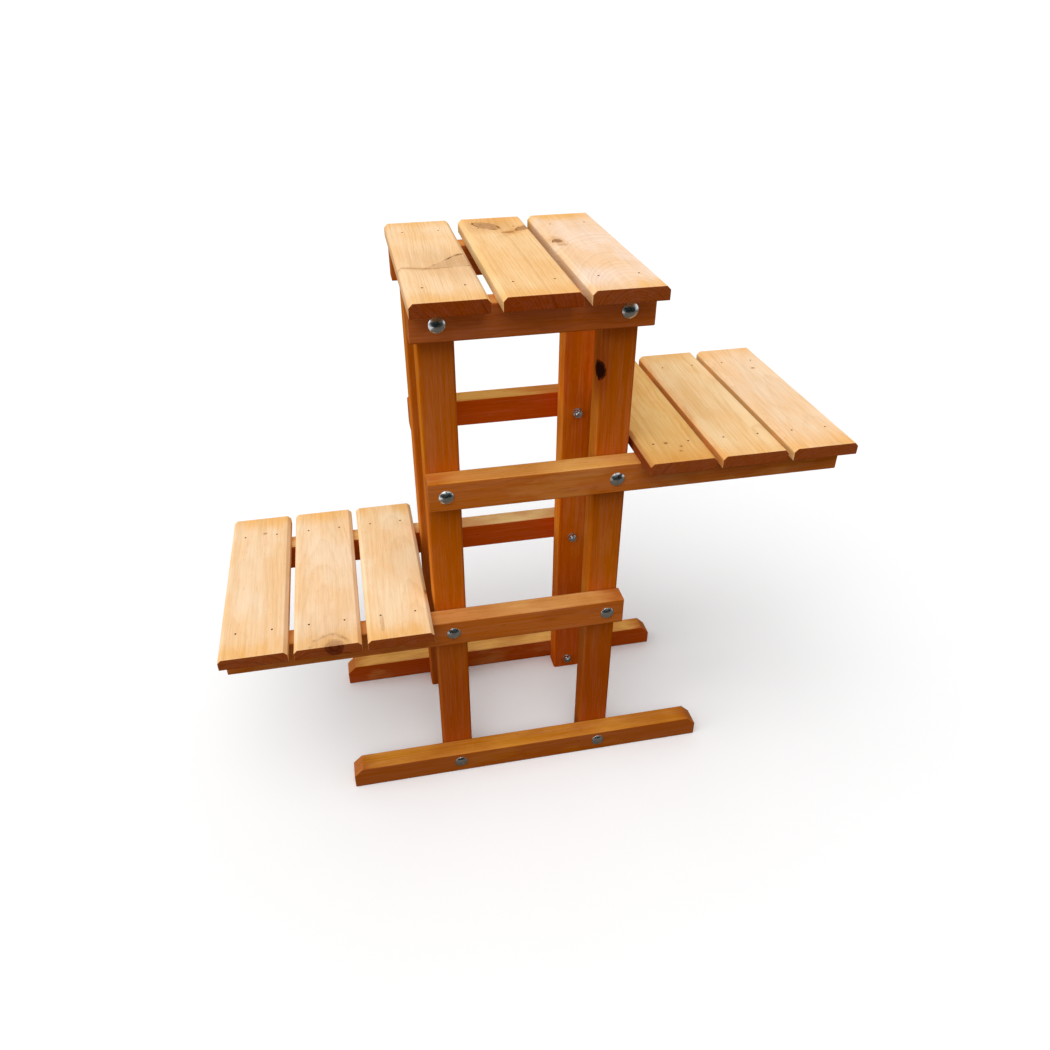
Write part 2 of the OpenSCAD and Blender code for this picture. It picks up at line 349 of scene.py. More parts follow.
def finish(piece, node, material, smooth_angle=40.0):
    """Give a piece its material, let it stand for its node, and let it ride on the body."""
    start_editing(piece)
    bpy.ops.mesh.select_all(action="SELECT")
    bpy.ops.mesh.remove_doubles(threshold=SAME_POINT)
    stop_editing()
    make_active(piece)
    bpy.ops.object.shade_smooth_by_angle(angle=math.radians(smooth_angle))
    # Large flat faces stay flat right up to the rounding beside them
    modifier = piece.modifiers.new("flat_faces", "WEIGHTED_NORMAL")
    modifier.keep_sharp = True
    bpy.ops.object.modifier_apply(modifier=modifier.name)
    piece.data.materials.clear()
    piece.data.materials.append(material)
    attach(piece, "root")
    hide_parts(node)


def set_out(master, nodes, ending, material, smooth_angle=40.0):
    """Copy a master to the places of each node and finish the copies; the master is used up."""
    for node, places in nodes.items():
        pieces = copy_to(master, places, node + ending)
        finish(pieces, node, material, smooth_angle)
    discard(master)


# ---- Places read from the frame ----


def turn_inwards(side):
    """The turn that points +Z into the stand, from the front (-1) or from the back (1)."""
    return (side * math.radians(90.0), 0.0, 0.0)


def bolt_axes(level):
    """The four bolt axes of a level, as a point in the outer face and a turn inwards."""
    low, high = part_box(level + "_bolts")
    head_radius = (high.z - low.z) / 2
    head_height = bpy.context.scene.stand_fasteners.head_height
    axis_x = high.x - head_radius
    axis_z = (low.z + high.z) / 2
    face_y = high.y - head_height
    return [
        (Vector((side_x * axis_x, side_y * face_y, axis_z)), turn_inwards(side_y))
        for side_x in SIDES
        for side_y in SIDES
    ]


def inner_span(level, kind):
    """From the rails' outer faces, where a level's bolts, washers or nuts begin and end inwards."""
    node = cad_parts[f"{level}_{kind}"]
    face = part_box(level + "_bolts")[1].y - bpy.context.scene.stand_fasteners.head_height
    depths = [face - vertex.co.y for vertex in node.data.vertices if vertex.co.y > 0]
    return min(depths), max(depths)


def nail_places(shelf):
    """The middle of the top of each nail's head in a shelf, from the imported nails, unturned."""
    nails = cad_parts[shelf + "_nails"]
    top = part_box(shelf + "_nails")[1].z
    reach = 3 * bpy.context.scene.stand_fasteners.nail_head_radius
    rings = []
    for vertex in nails.data.vertices:
        if top - vertex.co.z > SAME_PLACE:
            continue
        for ring in rings:
            if (vertex.co - ring[0]).length < reach:
                ring.append(vertex.co.copy())
                break
        else:
            rings.append([vertex.co.copy()])
    return [(sum(ring, Vector()) / len(ring), UNTURNED) for ring in rings]


# ---- Shader node groups ----


def fill(tree, socket, value):
    """Link a socket to another socket, or give it a value, where a colour is three numbers."""
    if isinstance(value, bpy.types.NodeSocket):
        tree.links.new(value, socket)
    elif socket.type == "RGBA":
        socket.default_value = (*value, 1.0)
    else:
        socket.default_value = value


def put(tree, kind, inputs=(), **settings):
    """Add a shader node, set it, and fill its inputs."""
    node = tree.nodes.new(kind)
    for key, value in settings.items():
        setattr(node, key, value)
    for key, value in dict(inputs).items():
        fill(tree, node.inputs[key], value)
    return node


def reckon(tree, operation, first, second=0.0, third=0.0, clamp=False):
    """Add a Math node and return its output."""
    inputs = {0: first, 1: second, 2: third}
    return put(tree, "ShaderNodeMath", inputs, operation=operation, use_clamp=clamp).outputs[0]


def reckon_vector(tree, operation, first, second=(0.0, 0.0, 0.0), output=0):
    """Add a Vector Math node and return one of its outputs."""
    node = put(tree, "ShaderNodeVectorMath", {0: first, 1: second}, operation=operation)
    return node.outputs[output]


def scaled(tree, vector, factor):
    """Scale a vector."""
    node = put(tree, "ShaderNodeVectorMath", {0: vector, "Scale": factor}, operation="SCALE")
    return node.outputs[0]


def split(tree, vector):
    """Take a vector apart into X, Y and Z."""
    return put(tree, "ShaderNodeSeparateXYZ", {0: vector}).outputs


def weigh(tree, parts, weights, base=0.0, clamp=False):
    """Add weighted parts to a base one by one; a clamp holds every sum between 0 and 1."""
    for name, weight in weights.items():
        base = reckon(tree, "MULTIPLY_ADD", parts[name], weight, base, clamp)
    return base


def ramp_between(tree, value, low, high, to_low=0.0, to_high=1.0):
    """Ease a value from one range to another, with soft ends."""
    inputs = {
        "Value": value, "From Min": low, "From Max": high, "To Min": to_low, "To Max": to_high,
    }
    node = put(tree, "ShaderNodeMapRange", inputs, interpolation_type="SMOOTHSTEP")
    return node.outputs["Result"]


def blend(tree, factor, first, second, blend_type="MIX"):
    """Mix two colours and return the result."""
    node = put(tree, "ShaderNodeMix", data_type="RGBA", blend_type=blend_type)
    for number, value in ((0, factor), (6, first), (7, second)):
        fill(tree, node.inputs[number], value)
    return node.outputs[2]


def noise(tree, vector, scale, detail, seed, output="Fac"):
    """Add seeded noise over a vector and return its value or its colour."""
    inputs = {"Vector": vector, "W": seed, "Scale": scale, "Detail": detail, "Roughness": 0.55}
    node = put(tree, "ShaderNodeTexNoise", inputs, noise_dimensions="4D")
    return node.outputs[output]


def grain_noise(tree, given, waves, detail, output="Fac"):
    """Add noise over a group's own vector and seed, in waves to the metre along each axis."""
    stretched = reckon_vector(tree, "MULTIPLY", given["Vector"], waves)
    return noise(tree, stretched, 1.0, detail, given["Seed"], output)


def centred(tree, vector):
    """Move a noise's vector so that it sways about zero."""
    return reckon_vector(tree, "SUBTRACT", vector, (0.5, 0.5, 0.5))


def start_group(name, inputs, outputs):
    """Start a shader node group, its sockets named by kind; return it with its two ends."""
    group = bpy.data.node_groups.new(name, "ShaderNodeTree")
    for kind, names in inputs.items():
        for socket in names:
            group.interface.new_socket(socket, in_out="INPUT", socket_type="NodeSocket" + kind)
    for kind, names in outputs.items():
        for socket in names:
            group.interface.new_socket(socket, in_out="OUTPUT", socket_type="NodeSocket" + kind)
    start, end = group.nodes.new("NodeGroupInput"), group.nodes.new("NodeGroupOutput")
    return group, start.outputs, end.inputs


def end_group(tree, result, values):
    """Link what a group works out to its results, and return the group."""
    for name, value in values.items():
        tree.links.new(value, result[name])
    return tree


# How much a noise varies to the metre, across the grain on X and Y and along it on Z
SWAY_WAVES = (9.0, 9.0, 2.2)
RIPPLE_WAVES = (60.0, 60.0, 22.0)
STREAK_WAVES = {
    "fine": (1300.0, 1300.0, 40.0), "coarse": (480.0, 480.0, 12.0), "wide": (75.0, 75.0, 5.0),
}
DUCT_WAVES = (1000.0, 1000.0, 120.0)
BLOTCH_WAVES = (24.0, 24.0, 10.0)
SOAK_WAVES = (160.0, 160.0, 20.0)
SCUFF_WAVES = (300.0, 300.0, 4200.0)
# How far a ripple moves a ring, in metres, and what is left of a vector across the grain
RIPPLE_SIZE = (0.004, 0.004, 0.0)
ACROSS = (1.0, 1.0, 0.0)
# Rings are uneven: how often that changes from ring to ring, and by how many rings
UNEVEN_RATE = 0.31
UNEVEN_RINGS = 2.6
# How dark the wood is from the edge of one ring, at 0, to the edge of the next, at 1
RING_PROFILE = ((0.0, 0.25), (0.07, 0.0), (0.45, 0.05), (0.78, 0.55), (0.92, 1.0), (1.0, 0.25))
# The least strength of a ring's dark line, and what chance adds to it
RING_STRENGTH = 0.45
RING_CHANCE = 0.55
STREAK_SHARES = {"fine": 0.34, "coarse": 0.38, "wide": 0.28}
STREAK_DETAIL = {"fine": 2.0, "coarse": 3.0, "wide": 3.0}
# Between which levels of their noise resin ducts and blotches of oil appear
DUCT_LEVELS = (0.69, 0.76)
BLOTCH_LEVELS = (0.38, 0.64)


def growth_rings_group():
    """Rings around a pith line that drifts away along the board, pushed aside by knots."""
    tree, given, result = start_group(
        "Growth Rings",
        {"Vector": ("Vector", "Pith", "Drift"), "Float": ("Ring Width", "Wander", "Push", "Seed")},
        {"Float": ("Late Wood",)},
    )
    sway = centred(tree, grain_noise(tree, given, SWAY_WAVES, 2.0, "Color"))
    ripple = centred(tree, grain_noise(tree, given, RIPPLE_WAVES, 3.0, "Color"))
    lean = scaled(tree, given["Drift"], split(tree, given["Vector"])["Z"])
    pith = reckon_vector(tree, "ADD", given["Pith"], lean)
    swayed = reckon_vector(tree, "ADD", given["Vector"], scaled(tree, sway, given["Wander"]))
    rippled = reckon_vector(tree, "MULTIPLY", ripple, RIPPLE_SIZE)
    swayed = reckon_vector(tree, "ADD", swayed, rippled)
    outwards = reckon_vector(tree, "SUBTRACT", swayed, pith)
    outwards = reckon_vector(tree, "MULTIPLY", outwards, ACROSS)
    radius = reckon_vector(tree, "LENGTH", outwards, output=1)
    radius = reckon(tree, "ADD", radius, given["Push"])
    count = reckon(tree, "DIVIDE", radius, given["Ring Width"])
    slow_count = reckon(tree, "MULTIPLY", count, UNEVEN_RATE)
    uneven = put(
        tree, "ShaderNodeTexNoise",
        {"W": reckon(tree, "ADD", slow_count, given["Seed"]), "Scale": 1.0, "Detail": 1.0},
        noise_dimensions="1D",
    ).outputs["Fac"]
    count = reckon(tree, "MULTIPLY_ADD", uneven, UNEVEN_RINGS, count)
    profile = put(tree, "ShaderNodeValToRGB", {0: reckon(tree, "FRACT", count)})
    stops = profile.color_ramp.elements
    for position, _ in RING_PROFILE[1:-1]:
        stops.new(position)
    for stop, (position, level) in zip(stops, RING_PROFILE):
        stop.position = position
        stop.color = (level, level, level, 1.0)
    number = reckon(tree, "ADD", reckon(tree, "FLOOR", count), given["Seed"])
    chance = put(tree, "ShaderNodeTexWhiteNoise", {"W": number}, noise_dimensions="1D")
    strength = reckon(tree, "MULTIPLY_ADD", chance.outputs["Value"], RING_CHANCE, RING_STRENGTH)
    late = reckon(tree, "MULTIPLY", profile.outputs["Color"], strength)
    return end_group(tree, result, {"Late Wood": late})


def fibre_group():
    """Fine streaks along the grain, resin ducts, and slow blotches of oil."""
    tree, given, result = start_group(
        "Pine Fibre",
        {"Vector": ("Vector",), "Float": ("Seed",)},
        {"Float": ("Streak", "Duct", "Blotch")},
    )
    streaks = {
        name: grain_noise(tree, given, waves, STREAK_DETAIL[name])
        for name, waves in STREAK_WAVES.items()
    }
    streak = weigh(tree, streaks, STREAK_SHARES)
    duct = ramp_between(tree, grain_noise(tree, given, DUCT_WAVES, 1.0), *DUCT_LEVELS)
    blotch = ramp_between(tree, grain_noise(tree, given, BLOTCH_WAVES, 5.0), *BLOTCH_LEVELS)
    return end_group(tree, result, {"Streak": streak, "Duct": duct, "Blotch": blotch})


# How ragged a knot's outline is, and how thin the point of a tapered one gets
KNOT_WAVES = 1.3
KNOT_RAGGED = 0.5
KNOT_TAPER = 0.93
# Distances from a knot's middle, where 1 is its edge: its inside, both sides of its outline, its
# end along X and its halo
KNOT_INSIDE = (0.72, 1.04)
KNOT_RIM_INNER = (0.84, 0.98)
KNOT_RIM_OUTER = (1.0, 1.16)
KNOT_END = (1.05, 1.3)
KNOT_HALO = (0.5, 2.2)
# Lines inside a knot: how close they lie, the levels where they show, and how deep they are
KNOT_LINE_RATE = 17.0
KNOT_LINE_LEVELS = (0.2, 1.0)
KNOT_LINE_DEPTH = 0.3
# Where its outline breaks: waves, levels, and the least of it that is left
KNOT_BREAK_WAVES = 2.6
KNOT_BREAK_LEVELS = (0.38, 0.58)
KNOT_BREAK_LEAST = 0.15
# The halo lies long in the grain, and the rings swell around a knot by the square of the distance
HALO_SHAPE = (1.0, 1.0, 0.5)
SWELL_RATE = -0.55


def knot_group():
    """One knot: its heart, its outline, the halo around it and the push that it gives the rings.

    The vector is 1 long at the knot's edge. Taper makes a round knot a spike that opens along X.
    """
    tree, given, result = start_group(
        "Knot",
        {"Vector": ("Vector",), "Float": ("Seed", "Heart Dark", "Rim Dark", "Taper", "Ring Push")},
        {"Float": ("Heart", "Rim", "Halo", "Push")},
    )
    vector, seed = given["Vector"], given["Seed"]
    ragged = centred(tree, noise(tree, vector, KNOT_WAVES, 4.0, seed, "Color"))
    ragged = scaled(tree, ragged, KNOT_RAGGED)
    place = split(tree, reckon_vector(tree, "ADD", vector, ragged))
    opened = reckon(tree, "MULTIPLY_ADD", place["X"], 0.5, 0.5, True)
    narrowed = reckon(tree, "MULTIPLY", reckon(tree, "SUBTRACT", 1.0, opened), given["Taper"])
    width = reckon(tree, "MULTIPLY_ADD", narrowed, -KNOT_TAPER, 1.0)
    straight = reckon(tree, "SUBTRACT", 1.0, given["Taper"])
    bent = put(
        tree, "ShaderNodeCombineXYZ",
        {"X": reckon(tree, "MULTIPLY", place["X"], straight), "Y": place["Y"],
         "Z": reckon(tree, "DIVIDE", place["Z"], width)},
    ).outputs[0]
    distance = reckon_vector(tree, "LENGTH", bent, output=1)
    within = ramp_between(tree, reckon(tree, "ABSOLUTE", place["X"]), *KNOT_END, 1.0, 0.0)
    lines = reckon(tree, "SINE", reckon(tree, "MULTIPLY", distance, KNOT_LINE_RATE))
    lines = ramp_between(tree, lines, *KNOT_LINE_LEVELS)
    lined = reckon(tree, "MULTIPLY_ADD", lines, KNOT_LINE_DEPTH, 1.0 - KNOT_LINE_DEPTH)
    inside = ramp_between(tree, distance, *KNOT_INSIDE, 1.0, 0.0)
    heart = reckon(tree, "MULTIPLY", reckon(tree, "MULTIPLY", inside, lined), within)
    rim_out = ramp_between(tree, distance, *KNOT_RIM_OUTER, 1.0, 0.0)
    rim_in = ramp_between(tree, distance, *KNOT_RIM_INNER)
    broken = noise(tree, vector, KNOT_BREAK_WAVES, 3.0, seed)
    broken = ramp_between(tree, broken, *KNOT_BREAK_LEVELS, KNOT_BREAK_LEAST, 1.0)
    rim = reckon(tree, "MULTIPLY", reckon(tree, "MULTIPLY", rim_out, rim_in), broken)
    rim = reckon(tree, "MULTIPLY", rim, within)
    far = reckon_vector(tree, "MULTIPLY", vector, HALO_SHAPE)
    far = reckon_vector(tree, "LENGTH", far, output=1)
    halo = ramp_between(tree, far, *KNOT_HALO, 1.0, 0.0)
    squared = reckon(tree, "MULTIPLY", far, far)
    swell = reckon(tree, "EXPONENT", reckon(tree, "MULTIPLY", squared, SWELL_RATE))
    return end_group(tree, result, {
        "Heart": reckon(tree, "MULTIPLY", heart, given["Heart Dark"], clamp=True),
        "Rim": reckon(tree, "MULTIPLY", rim, given["Rim Dark"], clamp=True),
        "Halo": reckon(tree, "MULTIPLY", halo, given["Rim Dark"]),
        "Push": reckon(tree, "MULTIPLY", swell, given["Ring Push"]),
    })


# How squarely a face looks along the grain, up and to -X, from where each mask begins to where
# it is full
END_GRAIN_FACING = (0.35, 0.8)
UPWARD_FACING = (0.25, 0.65)
ASIDE_FACING = (0.4, 0.85)
# How deep oil soaks in from an end and how wide a worn edge is, and how ragged both are, in metres
SOAK_DEPTH = (-0.012, 0.022)
SOAK_RAGGED = -0.03
EDGE_WIDTH = (0.0008, 0.0045)
EDGE_RAGGED = 0.0015


def board_ends_group():
    """Where a board shows end grain, looks up or aside, soaked up oil, or has an edge."""
    tree, given, result = start_group(
        "Board Ends",
        {"Vector": ("Vector", "Half Size", "Grain Axis"), "Float": ("Seed",)},
        {"Float": ("End Grain", "Upward", "Aside", "Soak", "Edge")},
    )
    normal = tree.nodes.new("ShaderNodeNewGeometry").outputs["Normal"]
    along, up, aside = (
        reckon_vector(tree, "DOT_PRODUCT", normal, towards, output=1)
        for towards in (given["Grain Axis"], (0.0, 0.0, 1.0), (-1.0, 0.0, 0.0))
    )
    inset = reckon_vector(tree, "ABSOLUTE", given["Vector"])
    inset = split(tree, reckon_vector(tree, "SUBTRACT", given["Half Size"], inset))
    ragged = grain_noise(tree, given, SOAK_WAVES, 2.0)
    reach = reckon(tree, "MULTIPLY_ADD", ragged, SOAK_RAGGED, inset["Z"])
    corner = reckon(tree, "MAXIMUM", inset["X"], inset["Y"])
    corner = reckon(tree, "MULTIPLY_ADD", ragged, EDGE_RAGGED, corner)
    return end_group(tree, result, {
        "End Grain": ramp_between(tree, reckon(tree, "ABSOLUTE", along), *END_GRAIN_FACING),
        "Upward": ramp_between(tree, up, *UPWARD_FACING),
        "Aside": ramp_between(tree, aside, *ASIDE_FACING),
        "Soak": ramp_between(tree, reach, *SOAK_DEPTH, 1.0, 0.0),
        "Edge": ramp_between(tree, corner, *EDGE_WIDTH, 1.0, 0.0),
    })


# What each mask adds to the depth of the oil, to the roughness and to the relief of the wood
PINE_SOAKED = {"Soak": 0.55, "Blotch": 0.5}
PINE_ROUGHNESS = {"Streak": 0.16, "Late Wood": -0.08, "End Grain": 0.22}
PINE_RELIEF = {"Streak": 0.5, "Late Wood": 0.35, "Duct": -0.45, "Rim": -0.8}
BASE_ROUGHNESS = 0.5
# How a streak changes the wood's brightness and liveliness: by how much, and from where
STREAK_VALUE = (0.6, 0.7)
STREAK_SATURATION = (-0.4, 1.2)
# How strongly rings and knots show in end grain
END_RINGS = 0.6
END_HEART = 1.1


def oiled_pine_group():
    """Colour, roughness and relief of oiled pine, from the masks of its figure, with painted light
    on what faces up and painted shade on the other faces.
    """
    tree, given, result = start_group(
        "Oiled Pine",
        {"Color": ("Pale", "Oiled", "Late", "End", "End Late", "Knot Heart", "Knot Rim"),
         "Float": ("Late Wood", "Streak", "Duct", "Blotch", "Heart", "Rim", "Halo", "End Grain",
                   "Upward", "Soak", "Edge", "Damp", "Figure", "Shelter")},
        {"Color": ("Color",), "Float": ("Roughness", "Height")},
    )
    # What faces up is painted pale and the other faces take the deeper oiled colour: painted light
    # on the tops and painted shade on the sides
    painted_side_shade_mask = reckon(tree, "SUBTRACT", 1.0, given["Upward"])
    painted_side_shade_mask = reckon(tree, "MULTIPLY", painted_side_shade_mask, given["Shelter"])
    soaked = weigh(tree, given, PINE_SOAKED, painted_side_shade_mask, clamp=True)
    wood = blend(tree, soaked, given["Pale"], given["Oiled"])
    # Each layer lies on those before it: its mask, its strength and its colour
    layers = (
        # The first layer is painted shade along the board, darker towards one end
        ("Damp", 0.7, "Late"),
        ("Late Wood", given["Figure"], "Late"),
        ("Duct", 0.6, "Late"),
        ("Halo", 0.5, "Late"),
        ("Edge", 0.08, "Oiled"),
        ("Heart", 1.0, "Knot Heart"),
        ("Rim", 1.0, "Knot Rim"),
    )
    for mask, strength, layer_colour in layers:
        shown = reckon(tree, "MULTIPLY", given[mask], strength)
        wood = blend(tree, shown, wood, given[layer_colour])
    rings = reckon(tree, "MULTIPLY", given["Late Wood"], END_RINGS)
    ends = blend(tree, rings, given["End"], given["End Late"])
    heart = reckon(tree, "MULTIPLY", given["Heart"], END_HEART, clamp=True)
    ends = blend(tree, heart, ends, given["End Late"])
    wood = blend(tree, given["End Grain"], wood, ends)
    streaked = put(
        tree, "ShaderNodeHueSaturation",
        {"Saturation": reckon(tree, "MULTIPLY_ADD", given["Streak"], *STREAK_SATURATION),
         "Value": reckon(tree, "MULTIPLY_ADD", given["Streak"], *STREAK_VALUE), "Color": wood},
    ).outputs[0]
    return end_group(tree, result, {
        "Color": streaked,
        "Roughness": weigh(tree, given, PINE_ROUGHNESS, BASE_ROUGHNESS, clamp=True),
        "Height": weigh(tree, given, PINE_RELIEF),
    })


# The marks on plated steel: waves to the metre, detail and seed of their noise, and the levels
# between which the last two appear
BLOOM_NOISE = (900.0, 4.0, 1.7)
PATCH_NOISE = (210.0, 3.0, 5.2)
SCUFF_NOISE = (1.0, 2.0, 9.1)
PATCH_LEVELS = (0.4, 0.66)
SCUFF_LEVELS = (0.6, 0.72)
# What the marks add to the dullness, to the roughness and to the relief
STEEL_DULL = {"Patch": 0.5, "Bloom": 0.35}
STEEL_ROUGHNESS = {"Dull": 0.22, "Scuff": 0.12}
STEEL_RELIEF = {"Scuff": -0.3}


def plated_steel_group():
    """Crystal bloom, dull patches and fine scuffs of zinc-plated or bare steel."""
    tree, given, result = start_group(
        "Plated Steel",
        {"Vector": ("Vector",), "Color": ("Bright", "Dull"), "Float": ("Polish",)},
        {"Color": ("Color",), "Float": ("Roughness", "Height")},
    )
    vector = given["Vector"]
    scratched = reckon_vector(tree, "MULTIPLY", vector, SCUFF_WAVES)
    marks = {
        "Bloom": noise(tree, vector, *BLOOM_NOISE),
        "Patch": ramp_between(tree, noise(tree, vector, *PATCH_NOISE), *PATCH_LEVELS),
        "Scuff": ramp_between(tree, noise(tree, scratched, *SCUFF_NOISE), *SCUFF_LEVELS),
    }
    marks["Dull"] = weigh(tree, marks, STEEL_DULL, clamp=True)
    return end_group(tree, result, {
        "Color": blend(tree, marks["Dull"], given["Bright"], given["Dull"]),
        "Roughness": weigh(tree, marks, STEEL_ROUGHNESS, given["Polish"], clamp=True),
        "Height": weigh(tree, marks, STEEL_RELIEF, marks["Bloom"]),
    })


GROUP_MAKERS = {
    "Growth Rings": growth_rings_group,
    "Pine Fibre": fibre_group,
    "Knot": knot_group,
    "Board Ends": board_ends_group,
    "Oiled Pine": oiled_pine_group,
    "Plated Steel": plated_steel_group,
}


def use_group(tree, name, inputs):
    """Place a shared group, made when it is first used, and return its outputs."""
    group = bpy.data.node_groups.get(name) or GROUP_MAKERS[name]()
    node = tree.nodes.new("ShaderNodeGroup")
    node.node_tree = group
    for key, value in inputs.items():
        fill(tree, node.inputs[key], value)
    return node.outputs


def start_material(name):
    """Start a material; return it with its tree and its principled shader."""
    material = bpy.data.materials.new(name)
    material.use_nodes = True
    tree = material.node_tree
    return material, tree, tree.nodes["Principled BSDF"]


# ---- Figure of each board ----


class Figure:
    """How one board was cut from its log, in metres on the board's own axes."""

    def __init__(self, pith, drift=(0.0, 0.0), ring=0.0045, wander=0.004, figure=0.22, knots=(),
                 pale_tint=WHITE, oil_tint=WHITE, end_tint=WHITE, side_light_and_shade=WHITE,
                 shelter=0.85, damp=None):
        self.pith = pith
        self.drift = drift
        self.ring = ring
        self.wander = wander
        self.figure = figure
        self.knots = knots
        self.pale_tint = pale_tint
        self.oil_tint = oil_tint
        self.end_tint = end_tint
        # Painted light and shade of the face towards -X alone
        self.side_light_and_shade = side_light_and_shade
        # How strongly the faces that don't look up are painted the deeper oiled colour, as painted
        # shade
        self.shelter = shelter
        # Painted shade along the board: where it is darkest, and where that ends
        self.damp = damp


class KnotPlace:
    """A knot: its place across and along a board, its half sizes, and its turn in degrees."""

    def __init__(self, across, along, half_across, half_along, heart=0.8, rim=1.0, push=0.003,
                 turn=0.0, taper=0.0, depth=0.0, half_depth=1.0):
        self.place = (across, depth, along)
        self.half_size = (half_across, half_depth, half_along)
        self.heart = heart
        self.rim = rim
        self.push = push
        self.turn = math.radians(turn)
        self.taper = taper


